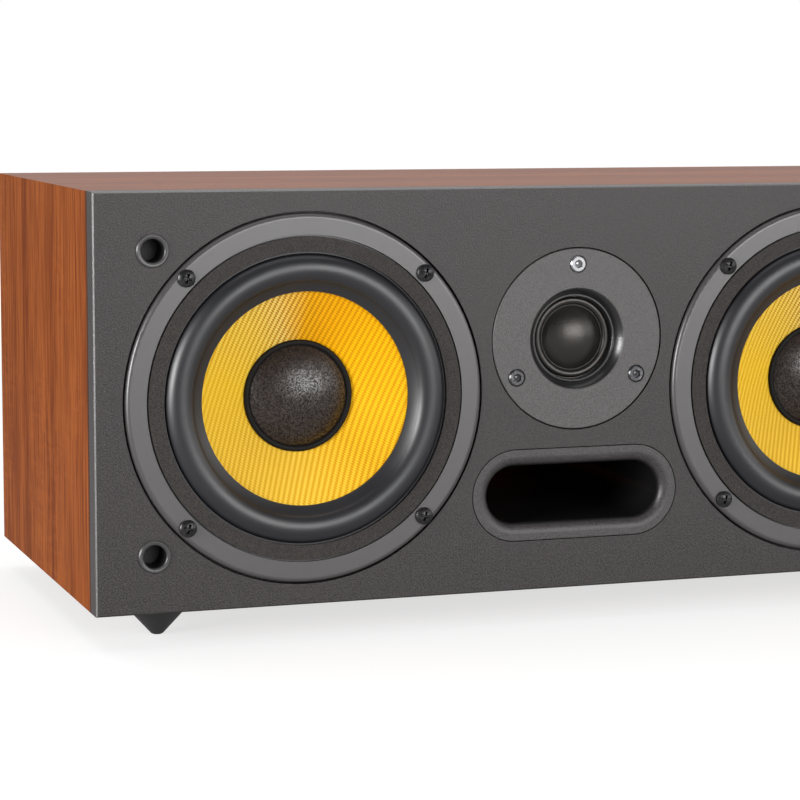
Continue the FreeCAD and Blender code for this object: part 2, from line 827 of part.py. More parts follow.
for side, sign in SIDES:
    spot = (f"{sign}woofer_x", "0", "woofer_z")
    basket = turn(f"{side}_woofer_basket", basket_outline, *spot)
    cut = pocket(basket, window_front, f"shelf_y - ({window_front}) - window_margin", [window])
    ring = basket.newObject("PartDesign::PolarPattern", "Windows")
    ring.Originals = [cut]
    ring.Axis = (cut.Profile[0], ["N_Axis"])
    ring.Angle = 360
    bind(ring, "Occurrences", "spokes")
    basket.Tip = ring
    screw_holes = [(x, z, "flange_hole") for x, z in around("screw_circle", WOOFER_SCREW_ANGLES)]
    basket.Tip = pocket(basket, "-flange_proud", "flange_thick", circles=screw_holes)
    keep(basket)
    keep(turn(f"{side}_woofer_gasket", gasket_outline, *spot))
    keep(turn(f"{side}_woofer_surround", surround_outline, *spot))
    keep(turn(f"{side}_woofer_cone", cone_outline, *spot))
    keep(turn(f"{side}_woofer_dust_cap", dust_cap_outline, *spot))
    keep(turn(f"{side}_woofer_voice_coil", coil_outline, *spot))
    keep(turn(f"{side}_woofer_spider", spider_outline, *spot))
    keep(turn(f"{side}_woofer_top_plate", top_plate_outline, *spot))
    keep(turn(f"{side}_woofer_magnet", magnet_outline, *spot))
    keep(turn(f"{side}_woofer_yoke", yoke_outline, *spot))
    strip = new_body(f"{side}_woofer_terminals", *spot)
    pad(strip, "shelf_depth", "strip_thick", strip_outline(strip_top, "strip_height"))
    blades = blade_outlines(f"{strip_top} - strip_height * 0.75")
    pad(strip, "shelf_depth + strip_thick", "blade_length", *blades)
    keep(strip)

# Woofer screws: pan heads on the flange, shanks in the baffle.
screw_outline = [
    ("0", "-screw_head_height"),
    ("screw_head_radius", "-screw_head_rim", "dome"),
    ("screw_head_radius", "0"),
    ("screw_radius", "0"),
    ("screw_radius", "screw_length - 2 * screw_radius"),
    ("0", "screw_length"),
]
screws = [
    turn(f"woofer_screw_{count}", screw_outline, x, "-flange_proud", z)
    for count, (x, z) in enumerate(woofer_spots, start=1)
]
group("woofer_screws", screws)

# Tweeter: a stepped faceplate over a soft dome and a small motor that passes through the baffle.
faceplate_outline = [
    ("faceplate_radius - faceplate_edge", "0"),
    ("faceplate_radius", "faceplate_edge"),
    ("faceplate_radius", "faceplate_thick"),
    ("tweeter_motor_radius + boss_clearance", "faceplate_thick"),
    ("tweeter_motor_radius + boss_clearance", "boss_depth"),
    ("dome_flange + boss_clearance", "boss_depth"),
    ("dome_flange + boss_clearance", "dome_seat"),
    ("throat_radius", "dome_seat"),
    ("throat_radius", "throat_depth"),
    (
        "ledge_inner",
        "ledge_depth",
        (
            "throat_radius + (ledge_inner - throat_radius) * 0.4",
            "ledge_depth + (throat_depth - ledge_depth) * 0.32",
        ),
    ),
    ("ledge_outer", "ledge_depth"),
    (
        "mouth_radius",
        "0",
        ("ledge_outer + (mouth_radius - ledge_outer) * 0.42", "ledge_depth * 0.45"),
    ),
]
faceplate = turn("tweeter_faceplate", faceplate_outline, z="tweeter_z")
head_bores = [
    (x, z, "tweeter_head_radius + tweeter_bore_gap")
    for x, z in around("tweeter_screw_circle", TWEETER_SCREW_ANGLES)
]
pocket(faceplate, "0", "tweeter_bore_depth", circles=head_bores)
plate_holes = [(x, z, "tweeter_hole") for x, z in around("tweeter_screw_circle", TWEETER_SCREW_ANGLES)]
pocket(faceplate, "0", "faceplate_thick", circles=plate_holes)
keep(faceplate)

roll_end = "throat_radius - dome_gap"
roll_centre = f"(dome_radius + {roll_end}) / 2"
dome_outline = [
    ("0", "dome_apex"),
    ("dome_radius", "dome_seat", "dome"),
    (roll_end, "dome_seat", (roll_centre, "dome_seat - dome_roll")),
    ("dome_flange", "dome_seat"),
    ("dome_flange", "boss_depth"),
    ("dome_radius - dome_wall", "boss_depth"),
    ("0", "dome_apex + dome_wall", "dome"),
]
keep(turn("tweeter_dome", dome_outline, z="tweeter_z"))
tweeter_coil_outline = [
    ("tweeter_former", "boss_depth"),
    ("dome_radius", "boss_depth"),
    ("dome_radius + tweeter_winding", "boss_depth + tweeter_coil_neck"),
    ("dome_radius + tweeter_winding", "boss_depth + tweeter_coil_length"),
    ("tweeter_former", "boss_depth + tweeter_coil_length"),
]
keep(turn("tweeter_voice_coil", tweeter_coil_outline, z="tweeter_z"))
tweeter_plate_outline = [
    ("tweeter_gap_radius", "boss_depth"),
    ("tweeter_motor_radius", "boss_depth"),
    ("tweeter_motor_radius", "tweeter_magnet_front"),
    ("tweeter_gap_radius", "tweeter_magnet_front"),
]
keep(turn("tweeter_top_plate", tweeter_plate_outline, z="tweeter_z"))
tweeter_magnet_outline = [
    ("tweeter_magnet_bore", "tweeter_magnet_front"),
    ("tweeter_motor_radius", "tweeter_magnet_front"),
    ("tweeter_motor_radius", "tweeter_back_front"),
    ("tweeter_magnet_bore", "tweeter_back_front"),
]
keep(turn("tweeter_magnet", tweeter_magnet_outline, z="tweeter_z"))
tweeter_yoke_outline = [
    ("0", "boss_depth + tweeter_pole_drop"),
    ("tweeter_pole", "boss_depth + tweeter_pole_drop"),
    ("tweeter_pole", "tweeter_back_front"),
    ("tweeter_motor_radius - tweeter_back_inset", "tweeter_back_front"),
    ("tweeter_motor_radius - tweeter_back_inset", "tweeter_back"),
    ("0", "tweeter_back"),
]
keep(turn("tweeter_yoke", tweeter_yoke_outline, z="tweeter_z"))
strip = new_body("tweeter_terminals", z="tweeter_z")
pad(strip, "tweeter_back", "strip_thick", rectangle("strip_width", "tweeter_strip_height"))
pad(strip, "tweeter_back + strip_thick", "blade_length", *blade_outlines("0"))
keep(strip)
tweeter_screw_outline = [
    ("0", "-tweeter_head_proud"),
    ("tweeter_head_radius - faceplate_edge", "-tweeter_head_proud"),
    ("tweeter_head_radius", "faceplate_edge - tweeter_head_proud"),
    ("tweeter_head_radius", "tweeter_bore_depth"),
    ("tweeter_screw_radius", "tweeter_bore_depth"),
    ("tweeter_screw_radius", "tweeter_bore_depth + tweeter_screw_length - 2 * tweeter_screw_radius"),
    ("0", "tweeter_bore_depth + tweeter_screw_length"),
]
screws = [
    turn(f"tweeter_screw_{count}", tweeter_screw_outline, x, "0", z)
    for count, (x, z) in enumerate(tweeter_spots, start=1)
]
group("tweeter_screws", screws)

# Foam seals, one ring behind each driver's flange, with holes for the screws.
seals = []
for side, sign in SIDES:
    seal_outline = [
        ("cutout_radius + seal_margin", "flange_back"),
        ("flange_radius", "flange_back"),
        ("flange_radius", "rebate_depth"),
        ("cutout_radius + seal_margin", "rebate_depth"),
    ]
    seal = turn(f"{side}_woofer_seal", seal_outline, f"{sign}woofer_x", "0", "woofer_z")
    pocket(seal, "flange_back", "seal_thick", circles=screw_holes)
    seals.append(seal)
tweeter_seal_outline = [
    ("tweeter_cutout + seal_margin / 2", "faceplate_thick"),
    ("faceplate_radius", "faceplate_thick"),
    ("faceplate_radius", "tweeter_rebate"),
    ("tweeter_cutout + seal_margin / 2", "tweeter_rebate"),
]
seal = turn("tweeter_seal", tweeter_seal_outline, z="tweeter_z")
pocket(seal, "faceplate_thick", "seal_thick", circles=plate_holes)
seals.append(seal)
group("driver_seals", seals)

# Slot port: one moulding, its mouth rounded over into the duct.
port = new_body("port_tube", z="port_z")
pad(port, "0", "port_flange_thick", stadium("port_width", "port_height"))
pad(
    port,
    "port_flange_thick",
    "duct_length - port_flange_thick",
    stadium("duct_width + 2 * duct_wall", "duct_height + 2 * duct_wall"),
)
bore = pocket(port, "0", "duct_length", [stadium("duct_width", "duct_height")])
doc.recompute()
mouth = edges_where(
    bore,
    lambda point: abs(point.y) < 1e-6
    and abs(point.x) < value("duct_width") / 2 + 0.1
    and abs(point.z) < value("duct_height") / 2 + 0.1,
)
soften(port, "Fillet", bore, mouth, "port_lip_round")
keep(port)

# Grille sockets: blind cups pressed into the baffle, their rims standing proud.
socket_outline = [
    ("socket_bore", "-socket_proud"),
    ("socket_rim - socket_edge", "-socket_proud"),
    ("socket_rim", "socket_edge - socket_proud"),
    ("socket_rim", "0"),
    ("socket_body", "0"),
    ("socket_body", "socket_length"),
    ("0", "socket_length"),
    ("0", "socket_length - socket_floor"),
    ("socket_bore", "socket_length - socket_floor"),
]
sockets = [
    turn(f"grille_socket_{count}", socket_outline, x, "0", z)
    for count, (x, z) in enumerate(socket_spots, start=1)
]
group("grille_sockets", sockets)

# Terminal cup: a flanged pan let into the rear panel, on a thin seal.
cup = new_body("terminal_cup", z=cup_z)
pad(cup, "pan_back", "cup_y - pan_back", rounded_rectangle("pan_width", "pan_height", "pan_corner"))
pad(cup, "cup_y", "cup_flange_thick", rounded_rectangle("cup_width", "cup_height", "cup_corner"))
recess = rounded_rectangle("pan_width - 2 * pan_wall", "pan_height - 2 * pan_wall", "pan_corner - pan_wall")
pocket(cup, "pan_floor_face", "pan_depth", [recess])
post_spots = {"positive": "-post_pitch / 2", "negative": "post_pitch / 2"}
floor_holes = [(x, "0", "post_tail_radius + thread_clearance") for x in post_spots.values()]
pocket(cup, "pan_back", "pan_floor", circles=floor_holes)
flange_holes = [
    (f"{right} * cup_screw_x", f"{up} * cup_screw_z", "cup_screw_radius + screw_clearance")
    for right in (-1, 1)
    for up in (-1, 1)
]
pocket(cup, "cup_y", "cup_flange_thick", circles=flange_holes)
keep(cup)
seal = new_body("terminal_seal", z=cup_z)
pad(
    seal,
    "rear_face",
    "cup_seal_thick",
    rounded_rectangle("cup_width", "cup_height", "cup_corner"),
    rounded_rectangle("pan_width + 2 * pan_gap", "pan_height + 2 * pan_gap", "pan_corner"),
)
pocket(seal, "rear_face", "cup_seal_thick", circles=flange_holes)
keep(seal)
cup_screw_outline = [
    ("0", "-cup_screw_length"),
    ("cup_screw_radius", "2 * cup_screw_radius - cup_screw_length"),
    ("cup_screw_radius", "0"),
    ("cup_screw_head", "0"),
    ("cup_screw_head", "cup_screw_head_height"),
    ("0", "cup_screw_head_height"),
]
screws = [
    turn(f"terminal_screw_{count}", cup_screw_outline, x, "cup_face", z)
    for count, (x, z) in enumerate(cup_screw_spots, start=1)
]
group("terminal_screws", screws)

# Binding posts: turned studs with a bore for a plug, knurled caps that turn on them, and nuts behind the cup.
post_outline = [
    ("0", "pan_floor_face - post_tail_length - pan_floor"),
    ("post_tail_radius", "pan_floor_face - post_tail_length - pan_floor"),
    ("post_tail_radius", "pan_floor_face"),
    ("post_collar_radius", "pan_floor_face"),
    ("post_collar_radius", "collar_face"),
    ("post_radius", "collar_face"),
    ("post_radius", "post_end"),
    ("post_bore", "post_end"),
    ("post_bore", "post_end - post_bore_depth"),
    ("0", "post_end - post_bore_depth"),
]
cap_outline = [
    ("post_radius + running_gap", "collar_face + running_gap"),
    ("cap_outer", "collar_face + running_gap"),
    ("cap_outer", "collar_face + running_gap + cap_length - cap_chamfer"),
    ("cap_outer - cap_chamfer", "collar_face + running_gap + cap_length"),
    ("post_radius + running_gap", "collar_face + running_gap + cap_length"),
]
for name, x in post_spots.items():
    keep(turn(f"{name}_post", post_outline, x, "0", cup_z))
for name, x in post_spots.items():
    cap = turn(f"{name}_cap", cap_outline, x, "0", cup_z)
    groove = pocket(
        cap,
        "collar_face + running_gap + cap_collar",
        "cap_length - cap_collar",
        circles=[("0", "cap_outer + cap_groove_radius / 3", "cap_groove_radius")],
    )
    knurl = cap.newObject("PartDesign::PolarPattern", "Knurl")
    knurl.Originals = [groove]
    knurl.Axis = (groove.Profile[0], ["N_Axis"])
    knurl.Angle = 360
    bind(knurl, "Occurrences", "cap_grooves")
    cap.Tip = knurl
    keep(cap)
nuts = []
hexagon = around("nut_width / sqrt(3)", range(0, 360, 60))
for name, x in post_spots.items():
    nut = new_body(f"{name}_nut", x, "0", cup_z)
    pad(nut, "pan_back - nut_thick", "nut_thick", hexagon)
    thread = [("0", "0", "post_tail_radius + thread_clearance")]
    pocket(nut, "pan_back - nut_thick", "nut_thick", circles=thread)
    nuts.append(nut)
group("post_nuts", nuts)

# Crossover: a board on four moulded supports, with coils, capacitors and a resistor on its front.
crossover = new_body("crossover_board", "board_x", "0", "board_z")
pad(crossover, "board_face", "board_thick", rectangle("board_width", "board_height"))
neck_holes = [
    (f"{right} * support_x", f"{up} * support_z", "support_neck + support_gap")
    for right in (-1, 1)
    for up in (-1, 1)
]
pocket(crossover, "board_face", "board_thick", circles=neck_holes)
keep(crossover)
support_outline = [
    ("0", "board_face - support_head_height"),
    ("support_head * 0.6", "board_face - support_head_height"),
    ("support_head", "board_face"),
    ("support_neck", "board_face"),
    ("support_neck", "board_back"),
    ("support_radius", "board_back"),
    ("support_radius", "rear_inside"),
    ("support_shank", "rear_inside"),
    ("support_shank", "rear_inside + support_shank_length"),
    ("0", "rear_inside + support_shank_length"),
]
supports = [
    turn(f"board_support_{count}", support_outline, x, "0", z)
    for count, (x, z) in enumerate(support_spots, start=1)
]
group("board_supports", supports)


def coil(name):
    """An air-core coil standing on the board."""
    outline = [
        (f"{name}_bore", f"board_face - {name}_height"),
        (f"{name}_radius", f"board_face - {name}_height"),
        (f"{name}_radius", "board_face"),
        (f"{name}_bore", "board_face"),
    ]
    return turn(name, outline, f"board_x + {name}_x", "0", f"board_z + {name}_z")


def capacitor(name):
    """A film capacitor lying across the board."""
    can = doc.addObject("Part::Cylinder", name)
    can.Label = name
    bind(can, "Radius", f"{name}_radius")
    bind(can, "Height", f"{name}_length")
    can.Placement.Rotation = FreeCAD.Rotation(FreeCAD.Vector(0, 1, 0), 90)
    start = f"board_x + {name}_x - {name}_length / 2"
    place(can, start, f"board_face - {name}_radius", f"board_z + {name}_z")
    return can


group("crossover_coils", [coil("large_coil"), coil("small_coil")])
group("crossover_capacitors", [capacitor("large_capacitor"), capacitor("small_capacitor")])
resistor = new_body("crossover_resistor", "board_x + resistor_x", "0", "board_z + resistor_z")
block = rounded_rectangle("resistor_length", "resistor_side", "resistor_edge")
pad(resistor, "board_face - resistor_side", "resistor_side", block)
keep(resistor)

# Damping pads glued to the inside of the side panels.
pads = []
for side, sign in SIDES:
    damping = new_body(f"{side}_damping_pad")
    slab = rounded_rectangle(
        "pad_thick",
        "cabinet_height - 2 * (board + pad_margin)",
        "pad_round",
        f"{sign}(inner_half - pad_thick / 2)",
        "cabinet_height / 2",
    )
    pad(damping, "pad_front", "pad_depth", slab)
    pads.append(damping)
group("damping_pads", pads)


# Leads: pairs of insulated wire, each a tube along straight runs joined by arcs as large as the runs allow.

def lead(name, points):
    """A tube of lead_radius along a route, in the cabinet's frame."""
    route = [FreeCAD.Vector(*point) for point in points]
    edges, last = [], route[0]
    for before, corner, after in zip(route, route[1:], route[2:]):
        to_before, to_after = before - corner, after - corner
        shorter = 0.45 * min(to_before.Length, to_after.Length)
        leave = corner + to_before.normalize() * shorter
        enter = corner + to_after.normalize() * shorter
        inwards = (to_before + to_after).normalize()
        half = to_before.getAngle(to_after) / 2
        radius = shorter * math.tan(half)
        middle = corner + inwards * (shorter / math.cos(half) - radius)
        edges.append(Part.LineSegment(last, leave).toShape())
        edges.append(Part.Arc(leave, middle, enter).toShape())
        last = enter
    edges.append(Part.LineSegment(last, route[-1]).toShape())
    path = Part.Wire(edges)
    radius = value("lead_radius")
    section = Part.Wire(Part.Circle(route[0], route[1] - route[0], radius).toShape())
    tube = doc.addObject("Part::Feature", name)
    tube.Label = name
    tube.Shape = path.makePipeShell([section], True, False)
    place(tube)
    swept = path.Length * math.pi * radius ** 2
    if abs(tube.Shape.Volume / swept - 1) > 0.01:
        raise RuntimeError(f"{name} has a volume of {tube.Shape.Volume:.0f}, not {swept:.0f}")
    return tube


def pair(name, points):
    """Two leads side by side, which part to meet the two blades at the far end."""
    tubes = []
    for way in (-1, 1):
        shifts = [way * value("lead_spread")] * (len(points) - 2) + [way * value("blade_spread")] * 2
        route = [(x + shift, y, z) for (x, y, z), shift in zip(points, shifts)]
        tubes.append(lead(f"{name}_{'plus' if way < 0 else 'minus'}", route))
    return tubes


def inside(across, back, up):
    """A place in the box, as shares of its half width, its depth and its height."""
    return value("half_width") * across, value("cabinet_depth") * back, value("cabinet_height") * up


def on_board(across, up):
    """A soldered end on the face of the board, from its middle, as shares of its half sizes."""
    right, high = f"board_x + {across} * board_width / 2", f"board_z + {up} * board_height / 2"
    return value(right), value("board_face - lead_gap"), value(high)


def before(place, share):
    """A place in front of another, by a share of the box's depth, so that a lead leaves squarely."""
    x, y, z = place
    return x, y - share * value("cabinet_depth"), z


blade_z = value("woofer_z - drum_radius - strip_gap - strip_height * 0.75")
at_blade = value("shelf_depth + strip_thick + blade_length + lead_gap")
right_blade = (value("woofer_x"), at_blade, blade_z)
left_blade = (value("-woofer_x"), at_blade, blade_z)
tweeter_blade = (0, value("tweeter_back + strip_thick + blade_length + lead_gap"), value("tweeter_z"))
tail = value("pan_floor_face - post_tail_length - pan_floor - lead_gap")
positive_tail = (value("-post_pitch / 2"), tail, value(cup_z))
negative_tail = (value("post_pitch / 2"), tail, value(cup_z))
start = on_board(-0.38, -0.72)
leads = pair("right_woofer_lead", [
    start,
    before(start, 0.105),
    inside(0.488, 0.611, 0.242),
    inside(0.537, 0.474, 0.188),
    before(right_blade, -0.126),
    right_blade,
])
start = on_board(-0.67, -0.72)
leads += pair("left_woofer_lead", [
    start,
    before(start, 0.074),
    inside(0.289, 0.711, 0.23),
    inside(0.07, 0.695, 0.194),
    inside(-0.189, 0.669, 0.176),
    inside(-0.418, 0.569, 0.17),
    inside(-0.527, 0.432, 0.176),
    before(left_blade, -0.116),
    left_blade,
])
start = on_board(-0.77, 0.66)
leads += pair("tweeter_lead", [
    start,
    before(start, 0.095),
    inside(0.279, 0.622, 0.667),
    inside(0.134, 0.469, 0.648),
    inside(0.02, 0.343, 0.624),
    before(tweeter_blade, -0.074),
    tweeter_blade,
])
end = on_board(-0.85, 0.32)
leads.append(lead("positive_input_lead", [
    positive_tail,
    before(positive_tail, 0.063),
    inside(0.02, 0.624, 0.515),
    inside(0.179, 0.624, 0.552),
    inside(0.308, 0.703, 0.582),
    before(end, 0.053),
    end,
]))
end = on_board(-0.85, -0.12)
leads.append(lead("negative_input_lead", [
    negative_tail,
    before(negative_tail, 0.047),
    inside(0.119, 0.655, 0.485),
    inside(0.229, 0.666, 0.473),
    inside(0.323, 0.729, 0.467),
    before(end, 0.042),
    end,
]))
group("internal_leads", leads)

# Every object has to be whole before anything is written.
doc.recompute()
broken = [thing.Label for thing in doc.Objects if {"Invalid", "Error"} & set(thing.State)]
broken += [piece.Label for piece in pieces if piece.Shape.isNull() or not piece.Shape.isValid()]
if broken:
    raise RuntimeError("not built: " + ", ".join(broken))
os.makedirs("parts", exist_ok=True)
for piece in pieces:
    piece.Shape.exportStep(f"parts/{piece.Label}.step")
print(f"{len(pieces)} sub-parts, {sum(len(piece.Shape.Solids) for piece in pieces)} solids")
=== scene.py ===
"""Looks of a center channel speaker: veneered box, painted baffle, woven-cone woofers, dome tweeter."""

import math

import bpy
import numpy as np
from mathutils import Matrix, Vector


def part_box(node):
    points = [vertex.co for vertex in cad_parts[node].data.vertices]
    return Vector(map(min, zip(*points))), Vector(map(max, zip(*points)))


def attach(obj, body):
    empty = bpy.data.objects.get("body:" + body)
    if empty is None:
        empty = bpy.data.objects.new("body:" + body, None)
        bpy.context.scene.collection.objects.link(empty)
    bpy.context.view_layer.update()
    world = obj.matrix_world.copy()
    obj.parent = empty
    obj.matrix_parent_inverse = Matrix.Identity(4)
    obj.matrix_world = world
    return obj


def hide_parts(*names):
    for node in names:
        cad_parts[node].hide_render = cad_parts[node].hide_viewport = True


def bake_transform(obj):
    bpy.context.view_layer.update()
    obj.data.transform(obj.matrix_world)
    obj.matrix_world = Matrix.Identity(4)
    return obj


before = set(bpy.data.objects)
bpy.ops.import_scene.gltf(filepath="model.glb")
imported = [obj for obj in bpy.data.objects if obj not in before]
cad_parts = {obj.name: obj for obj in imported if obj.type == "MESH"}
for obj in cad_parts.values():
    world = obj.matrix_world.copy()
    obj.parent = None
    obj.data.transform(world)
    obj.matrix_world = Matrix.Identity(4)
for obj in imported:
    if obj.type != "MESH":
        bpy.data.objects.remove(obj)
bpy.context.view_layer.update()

# Box. Fibreboard panels faced with red-brown wood veneer under a satin lacquer, mitred and glued.
# The grain runs up the sides and along the length of the top, the bottom and the back.
PANEL_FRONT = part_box("left_side_panel")[0].y
JOINT_SHADE_FULL, JOINT_SHADE_CLEAR = 0.0016, 0.0034
SIDE_STRIPE, STRIPE_CORE, STRIPE_EDGE = 0.040, 0.002, 0.008
GRAIN_DRAW, RIPPLE_DRAW = 0.03, 0.22
VENEER_DARK = (0.139, 0.0270, 0.0040)
VENEER_MIDDLE = (0.238, 0.0560, 0.0090)
VENEER_PALE = (0.337, 0.0920, 0.0190)
PORE_BROWN, JOINT_SHADE_BROWN = (0.095, 0.020, 0.0045), (0.030, 0.018, 0.012)


class Wire:
    """An output socket of a finish: sums on it add Math nodes, and node() adds any other node."""

    def __init__(self, tree, socket=None):
        self.tree = tree
        self.socket = socket

    def node(self, kind, settings=None, inputs=None, output=0):
        """Add a node of a kind, with its settings set first and then its sockets filled or linked."""
        made = self.tree.nodes.new(f"ShaderNode{kind}")
        for name, setting in (settings or {}).items():
            if name == "stops":
                ramp = made.color_ramp.elements
                while len(ramp) < len(setting):
                    ramp.new(1.0)
                for stop, (place, colour) in zip(ramp, setting):
                    stop.position = place
                    stop.color = (*colour, 1.0)
            else:
                setattr(made, name, setting)
        for name, value in (inputs or {}).items():
            if isinstance(value, Wire):
                self.tree.links.new(value.socket, made.inputs[name])
            else:
                made.inputs[name].default_value = value
        return Wire(self.tree, made.outputs[output])

    def math(self, operation, *values):
        return self.node("Math", {"operation": operation}, dict(enumerate(values)))

    def __add__(self, other):
        return self.math("ADD", self, other)

    def __radd__(self, other):
        return self.math("ADD", other, self)

    def __sub__(self, other):
        return self.math("SUBTRACT", self, other)

    def __rsub__(self, other):
        return self.math("SUBTRACT", other, self)

    def __mul__(self, other):
        return self.math("MULTIPLY", self, other)

    def __rmul__(self, other):
        return self.math("MULTIPLY", other, self)

    def __truediv__(self, other):
        return self.math("DIVIDE", self, other)

    def __rtruediv__(self, other):
        return self.math("DIVIDE", other, self)


def new_finish(name, **constants):
    """A material with its unvarying values on the shader's sockets, and a wire to start its nodes from."""
    material = bpy.data.materials.new(name)
    material.use_nodes = True
    shader = material.node_tree.nodes["Principled BSDF"]
    for socket, value in constants.items():
        shader.inputs[socket.replace("_", " ")].default_value = value
    return material, Wire(material.node_tree)


def feed(material, **wires):
    """Link what varies over the surface to the shader."""
    shader = material.node_tree.nodes["Principled BSDF"]
    for socket, wire in wires.items():
        material.node_tree.links.new(wire.socket, shader.inputs[socket.replace("_", " ")])


def place_on(wire, centre=(0, 0, 0), stretch=(1, 1, 1), turn=(0, 0, 0)):
    """Object coordinates, moved so that centre is their origin, turned, then stretched axis by axis."""
    here = wire.node("TexCoord", output="Object")
    moved = wire.node("VectorMath", {"operation": "SUBTRACT"}, {0: here, 1: centre})
    inputs = {"Vector": moved, "Rotation": turn, "Scale": stretch}
    return wire.node("Mapping", {"vector_type": "POINT"}, inputs)


def cloud(wire, place, scale, detail=2.0, rough=0.5, bend=0.0):
    """Noise of a given number of lumps to the metre, from 0 to 1."""
    inputs = {"Vector": place, "Scale": scale, "Detail": detail, "Roughness": rough, "Distortion": bend}
    return wire.node("TexNoise", None, inputs)


def smooth(wire, value, low, high):
    """0 below low, 1 above high, and a smooth step between."""
    settings = {"interpolation_type": "SMOOTHSTEP"}
    return wire.node("MapRange", settings, {"Value": value, "From Min": low, "From Max": high})


def shades(wire, value, *stops):
    """A colour read from stops along a value."""
    return wire.node("ValToRGB", {"stops": stops}, {"Fac": value})


def mixed(wire, factor, low, high):
    """Two colours mixed by a factor: a Mix node takes colours on its sockets 6 and 7, and gives one on 2."""
    colours = [value if isinstance(value, Wire) else (*value, 1.0) for value in (low, high)]
    inputs = {"Factor": factor, 6: colours[0], 7: colours[1]}
    return wire.node("Mix", {"data_type": "RGBA"}, inputs, output=2)


def bumped(wire, height, depth, strength=1.0):
    """A normal that follows a height from 0 to 1, with a depth in metres."""
    return wire.node("Bump", None, {"Height": height, "Distance": depth, "Strength": strength})


def dress(material, *nodes):
    """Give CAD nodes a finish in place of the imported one."""
    for node in nodes:
        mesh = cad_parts[node].data
        mesh.materials.clear()
        mesh.materials.append(material)


def veneer(name, along, gloss, stripe=None):
    """Bands, fibres and pores drawn out along the grain, with faint ripples across it.

    A stripe is one darker band at a depth; painted shade darkens the front edge towards the joint with the
    baffle."""
    material, wire = new_finish(name, Specular_IOR_Level=gloss)
    place = place_on(wire, stretch=tuple(GRAIN_DRAW if axis == along else 1.0 for axis in "XYZ"))
    crossing = place_on(wire, stretch=tuple(1.0 if axis == along else RIPPLE_DRAW for axis in "XYZ"))
    depth = wire.node("SeparateXYZ", None, {0: place_on(wire)}, output="Y")
    bands = cloud(wire, place, 42, 3, 0.5, 0.5)
    fibres = cloud(wire, place, 760, 3, 0.7)
    pores = smooth(wire, cloud(wire, place, 1300, 1), 0.60, 0.74)
    patches = smooth(wire, cloud(wire, place_on(wire), 14, 1), 0.48, 0.62)
    ripples = smooth(wire, cloud(wire, crossing, 330, 2), 0.46, 0.62) * patches
    tone = bands * 0.32 + fibres * 0.68 + ripples * 0.03
    if stripe is not None:
        off_stripe = wire.math("ABSOLUTE", depth - stripe)
        tone = tone - smooth(wire, off_stripe, STRIPE_EDGE, STRIPE_CORE) * 0.05
    wood = shades(wire, tone, (0.40, VENEER_DARK), (0.49, VENEER_MIDDLE), (0.57, VENEER_PALE))
    wood = mixed(wire, pores * 0.4, wood, PORE_BROWN)
    # Painted shade: a dark line along the front edge, where the veneer meets the baffle.
    joint_shade = smooth(wire, depth, PANEL_FRONT + JOINT_SHADE_CLEAR, PANEL_FRONT + JOINT_SHADE_FULL)
    feed(
        material,
        Base_Color=mixed(wire, joint_shade * 0.8, wood, JOINT_SHADE_BROWN),
        Roughness=0.38 + fibres * 0.14,
        Normal=bumped(wire, fibres - pores * 0.5, 0.00006, 0.5),
    )
    return material


dress(veneer("veneer_sides", "Z", gloss=0.02, stripe=SIDE_STRIPE), "left_side_panel", "right_side_panel")
dress(veneer("veneer_length", "X", gloss=0.13), "top_panel", "bottom_panel", "rear_panel")

# Front baffle. Routed fibreboard with a chamfered rim, sprayed with a fine-textured grey paint.
# Its back is stepped into the box, so only the lip stands in front of the panels.
BAFFLE_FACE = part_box("front_baffle")[0].y
BAFFLE_SIDE, BAFFLE_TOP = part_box("front_baffle")[1].x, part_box("front_baffle")[1].z
BAFFLE_DARK, BAFFLE_PALE = (0.008, 0.0054, 0.0057), (0.046, 0.0362, 0.0377)
BAFFLE_EDGE_HIGHLIGHT = (0.16, 0.155, 0.155)
EDGE_HIGHLIGHT_INNER, EDGE_HIGHLIGHT_OUTER = 0.0007, 0.0004
EDGE_HIGHLIGHT_BACK, EDGE_HIGHLIGHT_FRONT = 0.0008, 0.0005


def textured_paint(name, dark, light, grain, depth, rough):
    """Spattered paint: fine grains in two sizes lighten the colour and raise the surface."""
    material, wire = new_finish(name, IOR=1.5)
    place = place_on(wire)
    grains = cloud(wire, place, grain, 2, 0.6)
    dust = cloud(wire, place, grain * 2.3, 1)
    speck = smooth(wire, grains * 0.65 + dust * 0.35, 0.36, 0.64)
    feed(
        material,
        Base_Color=mixed(wire, speck, dark, light),
        Roughness=rough - 0.08 + speck * 0.16,
        Normal=bumped(wire, speck, depth, 0.6),
    )
    return material


def painted_edge_highlight(material):
    """Paint a highlight along the chamfer of the sides and the top of the baffle, and make it glossier there.
    """
    wire = Wire(material.node_tree)
    x, y, z = (wire.node("SeparateXYZ", None, {0: place_on(wire)}, output=axis) for axis in "XYZ")
    sides = smooth(wire, wire.math("ABSOLUTE", x), BAFFLE_SIDE - EDGE_HIGHLIGHT_INNER, BAFFLE_SIDE - EDGE_HIGHLIGHT_OUTER)
    top = smooth(wire, z, BAFFLE_TOP - EDGE_HIGHLIGHT_INNER, BAFFLE_TOP - EDGE_HIGHLIGHT_OUTER)
    front = smooth(wire, y, BAFFLE_FACE + EDGE_HIGHLIGHT_BACK, BAFFLE_FACE + EDGE_HIGHLIGHT_FRONT)
    # Painted highlight: a light line along the chamfer of the sides and the top.
    rim = wire.math("MAXIMUM", sides, top) * front
    shader = material.node_tree.nodes["Principled BSDF"]
    paint = Wire(wire.tree, shader.inputs["Base Color"].links[0].from_socket)
    dull = Wire(wire.tree, shader.inputs["Roughness"].links[0].from_socket)
    feed(material, Base_Color=mixed(wire, rim, paint, BAFFLE_EDGE_HIGHLIGHT), Roughness=dull - rim * 0.2)


